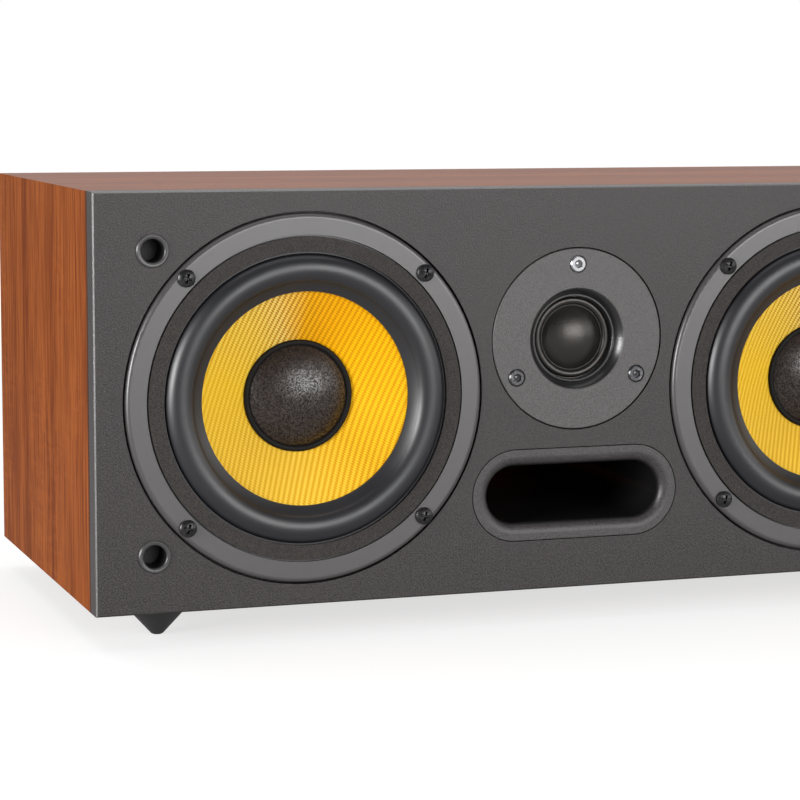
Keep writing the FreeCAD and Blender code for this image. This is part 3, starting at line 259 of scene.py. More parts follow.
baffle_paint = textured_paint("baffle_paint", BAFFLE_DARK, BAFFLE_PALE, grain=1500, depth=0.00006, rough=0.42)
painted_edge_highlight(baffle_paint)
dress(baffle_paint, "front_baffle")

# Feet. Moulded cones of dark satin plastic with a fine grain, each with a stud that screws into a brass
# insert in the bottom panel. The nuts of the terminal posts are turned from the same brass.
BAND_DRAW = 0.04


def moulded(name, colour, rough, grain=1200, depth=0.00003, lighter=1.35):
    """Moulded plastic with a fine spark-eroded grain and slight clouding of its gloss."""
    material, wire = new_finish(name, IOR=1.49)
    place = place_on(wire)
    grains = cloud(wire, place, grain, 2)
    patches = cloud(wire, place, 45, 2)
    pale = tuple(min(1.0, part * lighter) for part in colour)
    feed(
        material,
        Base_Color=mixed(wire, grains * 0.7 + patches * 0.3, colour, pale),
        Roughness=rough - 0.07 + patches * 0.1 + grains * 0.06,
        Normal=bumped(wire, grains, depth, 0.5),
    )
    return material


def turned_metal(name, colour, rough, across="Y"):
    """Turned or drawn metal: fine bands along one axis vary its gloss."""
    material, wire = new_finish(name, Metallic=1.0)
    stretch = tuple(1.0 if axis == across else BAND_DRAW for axis in "XYZ")
    bands = cloud(wire, place_on(wire, stretch=stretch), 2600, 2)
    stain = cloud(wire, place_on(wire), 90, 3)
    feed(
        material,
        Base_Color=mixed(wire, stain, tuple(part * 0.86 for part in colour), colour),
        Roughness=rough - 0.08 + bands * 0.14 + stain * 0.06,
        Normal=bumped(wire, bands, 0.00001, 0.4),
    )
    return material


dress(
    moulded("foot_plastic", (0.022, 0.022, 0.023), rough=0.42),
    "foot_front_left",
    "foot_front_right",
    "foot_rear_left",
    "foot_rear_right",
)
turned_brass = turned_metal("brass_insert", (0.66, 0.47, 0.19), rough=0.34, across="Z")
dress(turned_brass, "foot_inserts", "post_nuts")

# Woofer baskets and motors. Cast alloy baskets with a satin grey paint; behind them a ferrite ring
# between zinc-plated steel plates, glued together and fixed to the back of the basket.
SIDES = ("left", "right")
WOOFER_X = {side: sum(corner.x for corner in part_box(f"{side}_woofer_cone")) / 2 for side in SIDES}
WOOFER_Z = sum(corner.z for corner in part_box("left_woofer_cone")) / 2


def satin_paint(name, dark, light, rough):
    """Smooth sprayed paint with a faint orange peel."""
    material, wire = new_finish(name, IOR=1.75)
    place = place_on(wire)
    peel = cloud(wire, place, 420, 2)
    dust = cloud(wire, place, 2600, 1)
    feed(
        material,
        Base_Color=mixed(wire, dust, dark, light),
        Roughness=rough - 0.05 + peel * 0.1,
        Normal=bumped(wire, peel * 0.4 + dust * 0.6, 0.000025, 0.4),
    )
    return material


def ferrite(name):
    """Pressed ferrite: dull, with chips of lighter grey."""
    material, wire = new_finish(name, IOR=1.7)
    place = place_on(wire)
    grains = cloud(wire, place, 1500, 3)
    chips = smooth(wire, cloud(wire, place, 320, 2), 0.66, 0.72)
    dull = mixed(wire, grains, (0.035, 0.035, 0.037), (0.060, 0.060, 0.063))
    feed(
        material,
        Base_Color=mixed(wire, chips, dull, (0.12, 0.12, 0.125)),
        Roughness=0.62 + grains * 0.2,
        Normal=bumped(wire, grains - chips, 0.00008, 0.5),
    )
    return material


def card(name, dark, light, weave):
    """Fibre board or treated cloth, flecked across two crossing directions."""
    material, wire = new_finish(name)
    place = place_on(wire)
    flecks = cloud(wire, place, weave, 3)
    crossing = cloud(wire, place_on(wire, stretch=(1, 1, 0.1)), weave, 2)
    height = flecks * 0.5 + crossing * 0.5
    feed(
        material,
        Base_Color=mixed(wire, smooth(wire, height, 0.38, 0.62), dark, light),
        Roughness=0.65 + flecks * 0.2,
        Normal=bumped(wire, height, 0.0001, 0.6),
    )
    return material


plated = turned_metal("zinc_plated_steel", (0.56, 0.56, 0.57), rough=0.36)
black_ferrite = ferrite("black_ferrite")
strip_board = card("strip_board", (0.14, 0.065, 0.022), (0.23, 0.12, 0.045), weave=1500)
dress(
    satin_paint("basket_paint", (0.049, 0.0450, 0.0470), (0.072, 0.0665, 0.0690), rough=0.34),
    *[f"{side}_woofer_basket" for side in SIDES],
)
dress(plated, "tweeter_top_plate", "tweeter_yoke")
dress(black_ferrite, "tweeter_magnet")
dress(strip_board, "tweeter_terminals")
for side in SIDES:
    dress(plated, f"{side}_woofer_top_plate", f"{side}_woofer_yoke")
    dress(black_ferrite, f"{side}_woofer_magnet")
    dress(strip_board, f"{side}_woofer_terminals")

# Voice coils and spiders. Enamelled copper wound on a former, centred by a disc of corrugated,
# resin-treated cloth that is glued to the shelf of the basket.
WIRE_PITCH = 0.0004


def winding(name):
    """Enamelled copper wire: fine turns stacked along the coil's axis."""
    material, wire = new_finish(name, Metallic=0.9)
    along = wire.node("SeparateXYZ", None, {0: place_on(wire)}, output="Y")
    turns = wire.math("SINE", along * (2 * math.pi / WIRE_PITCH)) * 0.5 + 0.5
    feed(
        material,
        Base_Color=mixed(wire, turns, (0.34, 0.105, 0.040), (0.62, 0.235, 0.105)),
        Roughness=0.28 + turns * 0.12,
        Normal=bumped(wire, turns, 0.0001, 0.7),
    )
    return material


copper = winding("copper_winding")
spider_cloth = card("spider_cloth", (0.33, 0.20, 0.07), (0.52, 0.35, 0.15), weave=1100)
dress(copper, "tweeter_voice_coil", "crossover_coils", *[f"{side}_woofer_voice_coil" for side in SIDES])
dress(spider_cloth, *[f"{side}_woofer_spider" for side in SIDES])

# Cones. A sheet of woven yellow fibre, lacquered, rolled into a shallow cone and lapped along one line
# at the top. Its ribs lean to the right. Its colour carries a painted sheen, with painted light and shade,
# that changes round the cone and changes sharply at the lap.
RIB_WIDTH, YARN_WIDTH, YARN_STEP, RIB_LEAN = 0.00215, 0.00098, 2.1, math.radians(21)
CONE_EDGE, EDGE_FRONT, EDGE_BACK = 0.0462, -0.00069, 0.00011
CONE_NECK, NECK_FRONT, NECK_BACK = 0.01325, 0.01660, 0.01756


def welded(name, points, faces, material):
    """A mesh object from points and triangles: equal points are merged, and faces are turned outwards."""
    points, index = np.unique(np.round(points.reshape(-1, 3), 8), axis=0, return_inverse=True)
    faces = index.reshape(-1)[faces]
    whole = (faces[:, 0] != faces[:, 1]) & (faces[:, 1] != faces[:, 2]) & (faces[:, 2] != faces[:, 0])
    faces = faces[whole]
    a, b, c = (points[faces[:, corner]] for corner in range(3))
    if np.einsum("ij,ij->", a - points.mean(0), np.cross(b - points.mean(0), c - points.mean(0))) < 0:
        faces = faces[:, ::-1]
    mesh = bpy.data.meshes.new(name)
    mesh.from_pydata(points.tolist(), [], faces.tolist())
    mesh.materials.append(material)
    mesh.shade_smooth()
    mesh.set_sharp_from_angle(angle=math.radians(38))
    thing = bpy.data.objects.new(name, mesh)
    bpy.context.scene.collection.objects.link(thing)
    return thing


def grid_faces(rows, columns):
    """Two triangles for each cell of a grid of rows by columns points."""
    start = np.arange(rows - 1)[:, None] * columns + np.arange(columns - 1)[None, :]
    start = start.reshape(-1, 1)
    return np.concatenate([start + (0, 1, columns), start + (1, columns + 1, columns)])


def ringed(radii, depths):
    """Points and faces of rings about the Y axis: r cos a, depth and r sin a, for an angle a once round.

    A row is a ring and a column is an angle, so a ring needn't be a circle."""
    angles = np.linspace(0, 2 * np.pi, radii.shape[1])
    points = np.stack([radii * np.cos(angles), depths, radii * np.sin(angles)], axis=-1)
    return points, grid_faces(*radii.shape)


def turned(section, centre, steps):
    """A section of radii and depths, turned once round the line along Y through a centre."""
    radii, depths = np.repeat(section.T[..., None], steps + 1, axis=-1)
    points, faces = ringed(radii, depths)
    return points + centre, faces


def drawn_out(profile, pieces):
    """A profile's straight runs, each divided into pieces."""
    profile = np.asarray(profile, float)
    share = np.arange(pieces)[None, :, None] / pieces
    runs = profile[:-1, None] + share * (profile[1:] - profile[:-1])[:, None]
    return np.concatenate([runs.reshape(-1, 2), profile[-1:]])


def woven_cone(side):
    """Ribs across a leaning line, each rib crossed by yarns that step from rib to rib, coloured with a
    painted sheen and painted light and shade that change round the cone.
    """
    material, wire = new_finish(f"{side}_cone_weave_painted_sheen", Specular_IOR_Level=0.1)
    centre = (WOOFER_X[side], 0, WOOFER_Z)
    flat = place_on(wire, centre)
    leaning = place_on(wire, centre, turn=(0, -RIB_LEAN, 0))
    x = wire.node("SeparateXYZ", None, {0: flat})
    z = wire.node("SeparateXYZ", None, {0: flat}, output="Z")
    across = wire.node("SeparateXYZ", None, {0: leaning})
    along = wire.node("SeparateXYZ", None, {0: leaning}, output="Z")
    rib = wire.math("SINE", across * (2 * math.pi / RIB_WIDTH)) * 0.5 + 0.5
    step = wire.math("FLOOR", across / RIB_WIDTH + 0.25)
    yarn = wire.math("SINE", along * (2 * math.pi / YARN_WIDTH) + step * YARN_STEP) * 0.5 + 0.5
    # A turn clockwise from the bottom, from 0 to 1, with the lap at a half.
    turn = wire.math("FLOORED_MODULO", wire.math("ARCTAN2", x * -1, z * -1) / (2 * math.pi), 1.0)
    # Painted sheen, light and shade: the colours of the yarns' lit tops and shaded hollows, set by the turn
    # round the cone.
    painted_lit_yarn = shades(
        wire,
        turn,
        (0.0, (0.91, 0.59, 0.065)),
        (0.12, (0.93, 0.60, 0.062)),
        (0.28, (0.98, 0.64, 0.050)),
        (0.40, (1.00, 0.72, 0.115)),
        (0.455, (0.98, 0.72, 0.180)),
        (0.51, (0.93, 0.46, 0.010)),
        (0.56, (0.92, 0.43, 0.005)),
        (0.64, (0.97, 0.50, 0.005)),
        (0.77, (0.94, 0.53, 0.012)),
        (0.87, (0.86, 0.49, 0.020)),
        (1.0, (0.91, 0.59, 0.065)),
    )
    painted_shaded_yarn = shades(
        wire,
        turn,
        (0.0, (0.68, 0.345, 0.008)),
        (0.12, (0.70, 0.360, 0.010)),
        (0.28, (0.80, 0.425, 0.010)),
        (0.40, (0.66, 0.310, 0.007)),
        (0.455, (0.50, 0.195, 0.004)),
        (0.51, (0.54, 0.200, 0.002)),
        (0.56, (0.62, 0.240, 0.001)),
        (0.64, (0.68, 0.280, 0.001)),
        (0.77, (0.66, 0.295, 0.002)),
        (0.87, (0.58, 0.255, 0.003)),
        (1.0, (0.68, 0.345, 0.008)),
    )
    height = rib * 0.56 + yarn * 0.44
    feed(
        material,
        Base_Color=mixed(wire, smooth(wire, height, 0.20, 0.66), painted_shaded_yarn, painted_lit_yarn),
        Roughness=0.5 - height * 0.12,
        Normal=bumped(wire, height, 0.00022, 0.55),
    )
    return material


cone_front = [(CONE_EDGE, EDGE_FRONT), (CONE_NECK, NECK_FRONT)]
cone_back = [(CONE_NECK, NECK_BACK), (CONE_EDGE, EDGE_BACK)]
cone_section = drawn_out(cone_front + cone_back + cone_front[:1], 20)
for side in SIDES:
    centre = (WOOFER_X[side], BAFFLE_FACE, WOOFER_Z)
    cone = welded(f"{side}_cone", *turned(cone_section, centre, 200), woven_cone(side))
    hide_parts(f"{side}_woofer_cone")
    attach(cone, f"{side}_diaphragm")

# Dust caps. Pressed fibre domes, brown-black and speckled, each glued to its cone with a black bead
# round the rim.
CAP_RADIUS, CAP_SEAT, CAP_HEIGHT, CAP_WALL = 0.0203, 0.0113, 0.0060, 0.0006
BEAD_RADIUS, BEAD_HALF_WIDTH, BEAD_DEPTH, BEAD_HALF_HEIGHT = 0.02135, 0.00115, 0.0114, 0.0010


def speckled_cap(name):
    """Pressed fibre: coarse grains that glint over a brown-black ground."""
    material, wire = new_finish(name, IOR=1.3, Coat_IOR=1.8, Coat_Roughness=0.27)
    place = place_on(wire)
    grains = cloud(wire, place, 2100, 2, 0.6)
    hollows = cloud(wire, place, 900, 2)
    speck = smooth(wire, grains * 0.75 + hollows * 0.25, 0.38, 0.66)
    feed(
        material,
        Base_Color=mixed(wire, speck, (0.0045, 0.0021, 0.0010), (0.032, 0.0165, 0.0090)),
        Roughness=0.5 - speck * 0.14,
        Coat_Weight=speck,
        Normal=bumped(wire, speck, 0.00005, 0.5),
    )
    return material


def soft_rubber(name, colour, rough, grain=1700, depth=0.00002, ior=1.5):
    """Moulded rubber: near black, with a bloom that dulls it in patches."""
    material, wire = new_finish(name, IOR=ior)
    place = place_on(wire)
    bloom = cloud(wire, place, 60, 3)
    grains = cloud(wire, place, grain, 2)
    pale = tuple(part * 1.5 for part in colour)
    feed(
        material,
        Base_Color=mixed(wire, bloom * 0.5 + grains * 0.5, colour, pale),
        Roughness=rough - 0.06 + bloom * 0.12,
        Normal=bumped(wire, grains, depth, 0.4),
    )
    return material


cap_fibre = speckled_cap("cap_fibre")
bead_rubber = soft_rubber("bead_rubber", (0.004, 0.0036, 0.0034), rough=0.6, ior=1.3)
# The cap is part of a ball of radius (r squared + h squared) / 2h, for its rim's radius r and its height h.
ball = (CAP_RADIUS ** 2 + CAP_HEIGHT ** 2) / (2 * CAP_HEIGHT)
rise = np.linspace(0, math.asin(CAP_RADIUS / ball), 40)
cap_front = np.stack([ball * np.sin(rise), CAP_SEAT - CAP_HEIGHT + ball * (1 - np.cos(rise))], -1)
cap_back = [(CAP_RADIUS - CAP_WALL, CAP_SEAT + CAP_WALL), (0, CAP_SEAT + CAP_WALL)]
cap_section = np.concatenate([cap_front, cap_back])
# The bead is an ellipse carried round the rim.
roll = np.linspace(0, 2 * np.pi, 25)
bead_section = np.stack([BEAD_HALF_WIDTH * np.cos(roll), BEAD_HALF_HEIGHT * np.sin(roll)], -1)
bead_section = bead_section + (BEAD_RADIUS, BEAD_DEPTH)
for side in SIDES:
    centre = (WOOFER_X[side], BAFFLE_FACE, WOOFER_Z)
    cap = welded(f"{side}_dust_cap", *turned(cap_section, centre, 160), cap_fibre)
    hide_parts(f"{side}_woofer_dust_cap")
    bead = welded(f"{side}_cap_bead", *turned(bead_section, centre, 160), bead_rubber)
    for piece in (cap, bead):
        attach(piece, f"{side}_diaphragm")

# Surrounds. Rolled rings of soft black rubber, glued to the seat of the basket outside and along the front
# of the cone inside. The half outside the crest rides on the cabinet; the half inside it is a separate piece.
RUBBER_WALL = 0.0008
ROLL_CREST, LIP_EDGE = (0.0515, -0.0045), (0.0426, 0.0001)
SEAT_EDGE, SEAT_FRONT, SEAT_BACK = 0.0643, -0.0003, 0.0005
OUTER_FOOT, INNER_FOOT, INNER_WALL = (0.0577, SEAT_FRONT), (0.0463, -0.0019), 0.0006


def arc_through(first, middle, last, count):
    """Points on the circle through three points, from the first to the last by way of the middle.

    The centre is where the two chords' perpendicular bisectors meet."""
    first, middle, last = (np.array(point) for point in (first, middle, last))
    chords = np.stack([middle - first, last - middle])
    squares = np.array([middle @ middle - first @ first, last @ last - middle @ middle])
    centre = np.linalg.solve(chords, squares / 2)
    start, via, end = (math.atan2(*(point - centre)[::-1]) for point in (first, middle, last))
    turn = (end - start) % (2 * math.pi)
    if (via - start) % (2 * math.pi) > turn:
        turn -= 2 * math.pi
    angles = start + turn * np.linspace(0, 1, count)
    radius = np.linalg.norm(first - centre)
    return centre + radius * np.stack([np.cos(angles), np.sin(angles)], -1)


back_crest = (ROLL_CREST[0], ROLL_CREST[1] + RUBBER_WALL)
back_foot = (INNER_FOOT[0] + RUBBER_WALL / 2, INNER_FOOT[1] + INNER_WALL)
front_roll = arc_through(OUTER_FOOT, ROLL_CREST, INNER_FOOT, 131)
back_roll = arc_through((OUTER_FOOT[0] - RUBBER_WALL, SEAT_BACK), back_crest, back_foot, 131)
crest = front_roll[:, 1].argmin()
behind = back_roll[:, 1].argmin()
seat_end = [(SEAT_EDGE, SEAT_BACK), (SEAT_EDGE, SEAT_FRONT)]
still_half = np.concatenate([seat_end[1:], front_roll[:crest + 1], back_roll[behind::-1], seat_end])
lip_end = [LIP_EDGE, (LIP_EDGE[0], LIP_EDGE[1] + RUBBER_WALL)]
bending_half = np.concatenate([
    front_roll[crest:],
    lip_end,
    back_roll[:behind - 1:-1],
    front_roll[crest:crest + 1],
])
surround_rubber = soft_rubber("surround_rubber", (0.006, 0.0062, 0.0085), rough=0.39, ior=1.66)
for side in SIDES:
    centre = (WOOFER_X[side], BAFFLE_FACE, WOOFER_Z)
    outside = welded(f"{side}_surround_outside", *turned(still_half, centre, 240), surround_rubber)
    inside = welded(f"{side}_surround_inside", *turned(bending_half, centre, 240), surround_rubber)
    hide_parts(f"{side}_woofer_surround")
    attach(outside, "cabinet")
    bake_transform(inside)

# Gasket rings. Die-cut from dull, fibrous brown-black rubber, and pressed over the outer lip
# of each surround to hold it down.
GASKET_DARK, GASKET_PALE = (0.003, 0.0022, 0.0019), (0.052, 0.0425, 0.0385)
gasket_fibre = textured_paint("gasket_fibre", GASKET_DARK, GASKET_PALE, grain=1700, depth=0.00015, rough=0.7)
dress(gasket_fibre, *[f"{side}_woofer_gasket" for side in SIDES])

# Woofer screws. Blackened steel with a pan head and a cross recess, four to a woofer,
# driven through the flange of the basket into the baffle.
SCREW_CIRCLE, HEAD_RADIUS, HEAD_HEIGHT, HEAD_RIM = 0.0692, 0.0035, 0.0023, 0.0010
SHANK_RADIUS, SCREW_LENGTH = 0.0019, 0.018
WING_REACH, WING_HALF_WIDTH, WING_TURN = 0.56, 0.15, math.radians(18)
FLANGE_PROUD = 0.0015
FLANGE_FACE = BAFFLE_FACE - FLANGE_PROUD


def cross_screw(head_radius, height, rim, shank_radius, length, steps=144):
    """Rings of a screw that points along +Y: a cross recess, a domed head and a pointed shank.

    At an angle d from the nearest wing, the recess reaches to the wing's half width over sin d,
    and no further than its end; the head's rings blend from that outline to the round rim."""
    angles = np.linspace(0, 2 * np.pi, steps + 1) + WING_TURN
    off_wing = np.abs((angles + np.pi / 4) % (np.pi / 2) - np.pi / 4)
    flank = head_radius * WING_HALF_WIDTH / np.maximum(np.sin(off_wing), 1e-6)
    recess = np.minimum(head_radius * WING_REACH, flank)
    ball = (head_radius ** 2 + (height - rim) ** 2) / (2 * (height - rim))

    def on_head(radius):
        return -height + ball - np.sqrt(ball ** 2 - radius ** 2)

    # The floor and the wall of the recess, the domed head, its rim, and the shank with its point.
    rings = [(recess * 0, recess * 0 - height * 0.2), (recess * 0.55, recess * 0 - height * 0.28)]
    rings.append((recess * 0.94, on_head(recess) + height * 0.12))
    rings += [
        (recess + (head_radius - recess) * share, on_head(recess + (head_radius - recess) * share))
        for share in np.linspace(0, 1, 12)
    ]
    ones = np.ones(steps + 1)
    rings += [(head_radius * ones, 0 * ones), (shank_radius * ones, 0 * ones)]
    rings += [(shank_radius * ones, (length - 2 * shank_radius) * ones), (0 * ones, length * ones)]
    radii, depths = (np.stack(part) for part in zip(*rings))
    return ringed(radii, depths)


def repeated(points, faces, spots):
    """Copies of one shape, each moved to its spot."""
    points = points.reshape(-1, 3)
    shifts = np.arange(len(spots))[:, None, None] * len(points)
    return (np.asarray(spots)[:, None] + points[None]).reshape(-1, 3), (faces[None] + shifts).reshape(-1, 3)


def around(centre, radius, degrees):
    """Spots on a circle about the Y axis through a centre, at angles from +X towards +Z."""
    angles = np.radians(degrees)
    return np.array(centre) + radius * np.stack([np.cos(angles), 0 * angles, np.sin(angles)], -1)


def black_screw(name, colour, rough, painted_highlight_above=None):
    """Blackened steel, rubbed a little brighter in patches; a painted highlight lightens all of a screw above
    a height.
    """
    material, wire = new_finish(name, Metallic=0.85)
    place = place_on(wire)
    wear_and_highlight = smooth(wire, cloud(wire, place, 700, 3), 0.52, 0.75)
    if painted_highlight_above is not None:
        height = wire.node("SeparateXYZ", None, {0: place}, output="Z")
        # Painted highlight: a screw above the given height is lighter all over.
        wear_and_highlight = wear_and_highlight + smooth(wire, height, painted_highlight_above, painted_highlight_above + 0.001) * 2.0
    feed(
        material,
        Base_Color=mixed(wire, wear_and_highlight * 0.4, colour, tuple(part * 4.0 for part in colour)),
        Roughness=rough + cloud(wire, place, 1600, 2) * 0.14,
        Normal=bumped(wire, cloud(wire, place, 2600, 1), 0.00001, 0.3),
    )
    return material


blackened = black_screw("blackened_steel", (0.045, 0.045, 0.047), rough=0.22)
flange_spots = np.concatenate([
    around((WOOFER_X[side], FLANGE_FACE, WOOFER_Z), SCREW_CIRCLE, (45, 135, 225, 315)) for side in SIDES
])
flange_screw = cross_screw(HEAD_RADIUS, HEAD_HEIGHT, HEAD_RIM, SHANK_RADIUS, SCREW_LENGTH)
woofer_screws = welded("cross_screws", *repeated(*flange_screw, flange_spots), blackened)
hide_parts("woofer_screws")
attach(woofer_screws, "cabinet")

# Tweeter. A moulded faceplate with a stepped, flared mouth over a coated silk dome; its motor sits behind.
# Three socket-head screws in counterbores hold it to the baffle.
TWEETER_Z = sum(corner.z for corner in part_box("tweeter_faceplate")) / 2
FACEPLATE_DARK, FACEPLATE_PALE = (0.037, 0.0345, 0.0345), (0.094, 0.0880, 0.0875)
FLARE_BLACK_AND_SHADE, FLARE_START = (0.010, 0.010, 0.0105), 0.00005
DOME_RADIUS, DOME_APEX, DOME_SEAT, DOME_WALL = 0.0130, 0.0017, 0.0065, 0.0006
GLUE_RADIUS, ROLL_END, ROLL_HEIGHT = 0.0003, 0.0167, 0.0012
RING_OUTER, RING_BACK = 0.0196, 0.0080
SILK_THREADS = 9000
PLATE_CIRCLE, PLATE_HEAD, PLATE_PROUD, PLATE_HEAD_BACK = 0.0305, 0.00335, 0.0006, 0.002
PLATE_SHANK, PLATE_SCREW_LENGTH, PLATE_CHAMFER = 0.0018, 0.014, 0.0005
HEX_WIDTH, HEX_LIP, HEX_DEPTH, HEX_POINT = 0.0031, 0.0002, 0.0013, 0.0016


def mixed_value(factor, low, high):
    """Two values mixed by a factor."""
    return low + (high - low) * factor


def flared_plastic(name, dark, light, grain, fade):
    """A textured face that passes into a smooth black flare behind it, over a depth of fade; the black is
    partly the plastic and partly painted shade in the recess.
    """
    material, wire = new_finish(name, IOR=1.6)
    place = place_on(wire)
    depth = wire.node("SeparateXYZ", None, {0: place}, output="Y")
    # The black behind the face is partly painted shade, deepening with depth into the recess.
    inside = smooth(wire, depth, BAFFLE_FACE + FLARE_START, BAFFLE_FACE + fade)
    grains = cloud(wire, place, grain, 2, 0.6)
    speck = smooth(wire, grains, 0.36, 0.64)
    feed(
        material,
        Base_Color=mixed(wire, inside, mixed(wire, speck, dark, light), FLARE_BLACK_AND_SHADE),
        Roughness=mixed_value(inside, 0.42 + speck * 0.1, 0.27),
        Normal=bumped(wire, speck * (1 - inside), 0.00004, 0.6),
    )
    return material


def silk(name):
    """Coated silk: a fine plain weave that shows under the coating."""
    material, wire = new_finish(name, IOR=1.62, Specular_Tint=(1.0, 0.94, 0.90, 1.0))
    place = place_on(wire)
    x = wire.node("SeparateXYZ", None, {0: place})
    z = wire.node("SeparateXYZ", None, {0: place}, output="Z")
    warp, weft = (wire.math("SINE", way * SILK_THREADS) for way in (x, z))
    weave = warp * 0.25 + weft * 0.25 + 0.5
    creases = cloud(wire, place, 900, 3, 0.6, 0.5)
    feed(
        material,
        Base_Color=mixed(wire, weave * 0.5 + creases * 0.5, (0.003, 0.0026, 0.0023), (0.010, 0.0088, 0.0078)),
        Roughness=0.22 + creases * 0.22,
        Normal=bumped(wire, weave * 0.2 + creases * 0.8, 0.00011, 0.5),
    )
    return material


# The flare turns black behind the face, partly as painted shade in the mouth.
faceplate = flared_plastic("faceplate_plastic", FACEPLATE_DARK, FACEPLATE_PALE, grain=2100, fade=0.0005)
dress(faceplate, "tweeter_faceplate")

# The section runs over the dome, its glue line, the roll and the flat ring, and back inside the dome.
glue_end = DOME_RADIUS + 2 * GLUE_RADIUS
dome_front = arc_through((-DOME_RADIUS, DOME_SEAT), (0, DOME_APEX), (DOME_RADIUS, DOME_SEAT), 121)[60:]
glue_line = arc_through(
    (DOME_RADIUS, DOME_SEAT),
    (DOME_RADIUS + GLUE_RADIUS, DOME_SEAT - GLUE_RADIUS),
    (glue_end, DOME_SEAT),
    11,
)
dome_roll = arc_through(
    (glue_end, DOME_SEAT),
    ((glue_end + ROLL_END) / 2, DOME_SEAT - ROLL_HEIGHT),
    (ROLL_END, DOME_SEAT),
    31,
)
ring = [(RING_OUTER, DOME_SEAT), (RING_OUTER, RING_BACK), (DOME_RADIUS - DOME_WALL, RING_BACK)]
dome_back = dome_front[::-1] * (1 - DOME_WALL / DOME_RADIUS, 1) + (0, DOME_WALL)
dome_section = np.concatenate([dome_front, glue_line, dome_roll, ring, dome_back])
plate_centre = (0, BAFFLE_FACE, TWEETER_Z)
silk_dome = welded("silk_dome", *turned(dome_section, plate_centre, 160), silk("coated_silk"))
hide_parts("tweeter_dome")
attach(silk_dome, "cabinet")


def socket_screw(steps=144):
    """Rings of a socket-head screw that points along +Y: a six-sided recess in a flat, chamfered head.

    At an angle d from the middle of the nearest flat, the recess reaches to half its width over cos d."""
    angles = np.linspace(0, 2 * np.pi, steps + 1)
    off_flat = (angles + np.pi / 6) % (np.pi / 3) - np.pi / 6
    recess = HEX_WIDTH / 2 / np.cos(off_flat)
    ones = np.ones(steps + 1)
    rings = [
        (0 * ones, HEX_DEPTH - PLATE_PROUD),
        (0.5 * recess, HEX_POINT - PLATE_PROUD),
        (0.97 * recess, HEX_DEPTH - PLATE_PROUD),
        (recess, HEX_LIP - PLATE_PROUD),
        (1.06 * recess, -PLATE_PROUD),
        ((PLATE_HEAD - PLATE_CHAMFER) * ones, -PLATE_PROUD),
        (PLATE_HEAD * ones, PLATE_CHAMFER - PLATE_PROUD),
        (PLATE_HEAD * ones, PLATE_HEAD_BACK),
        (PLATE_SHANK * ones, PLATE_HEAD_BACK),
        (PLATE_SHANK * ones, PLATE_SCREW_LENGTH - 2 * PLATE_SHANK),
        (0 * ones, PLATE_SCREW_LENGTH),
    ]
    radii = np.stack([radius for radius, _ in rings])
    depths = np.stack([depth * ones for _, depth in rings])
    return ringed(radii, depths)


# The upper screw gets a painted highlight: it is lighter all over above the tweeter's middle height.
oxide_steel = black_screw("oxide_steel", (0.09, 0.09, 0.094), rough=0.22, painted_highlight_above=TWEETER_Z)
plate_spots = around(plate_centre, PLATE_CIRCLE, (90, 210, 330))
tweeter_screws = welded("socket_screws", *repeated(*socket_screw(), plate_spots), oxide_steel)
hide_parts("tweeter_screws")
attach(tweeter_screws, "cabinet")

# Port. A moulded flange with a rolled mouth and a long stadium-shaped duct, pressed into the baffle.
# The flange takes the texture of the baffle, and the duct is left smooth and black; its darkening with depth
# is partly painted shade.
PORT_DARK, PORT_PALE = (0.016, 0.0140, 0.0146), (0.060, 0.0535, 0.0550)
dress(flared_plastic("port_plastic", PORT_DARK, PORT_PALE, grain=1900, fade=0.0040), "port_tube")

# Grille sockets. Small moulded cups pressed into the baffle near its corners, with a proud round rim.
# The mouth of each is rounded where a peg slides in, and painted shade darkens its bore.
SOCKET_BORE, SOCKET_RIM, SOCKET_BODY, SOCKET_ROUND = 0.00445, 0.0066, 0.0055, 0.0012
SOCKET_PROUD, SOCKET_EDGE, SOCKET_LENGTH, SOCKET_FLOOR = 0.001, 0.0005, 0.012, 0.0015
BORE_SHADE_START, BORE_SHADE_FULL = -0.0008, -0.0002


def socket_plastic(name):
    """Glossy moulded plastic, grey on the rim, darkened by painted shade to near black down the bore."""
    material, wire = new_finish(name, IOR=1.55)
    place = place_on(wire)
    depth = wire.node("SeparateXYZ", None, {0: place}, output="Y")
    # Painted shade: the colour turns near black with depth down the bore.
    bore_shade = smooth(wire, depth, BAFFLE_FACE + BORE_SHADE_START, BAFFLE_FACE + BORE_SHADE_FULL)
    grains = cloud(wire, place, 1600, 2)
    rim = mixed(wire, grains, (0.040, 0.038, 0.039), (0.066, 0.063, 0.064))
    feed(
        material,
        Base_Color=mixed(wire, bore_shade, rim, (0.003, 0.003, 0.003)),
        Roughness=0.24 + grains * 0.12 + bore_shade * 0.25,
        Normal=bumped(wire, grains, 0.00002, 0.4),
    )
    return material


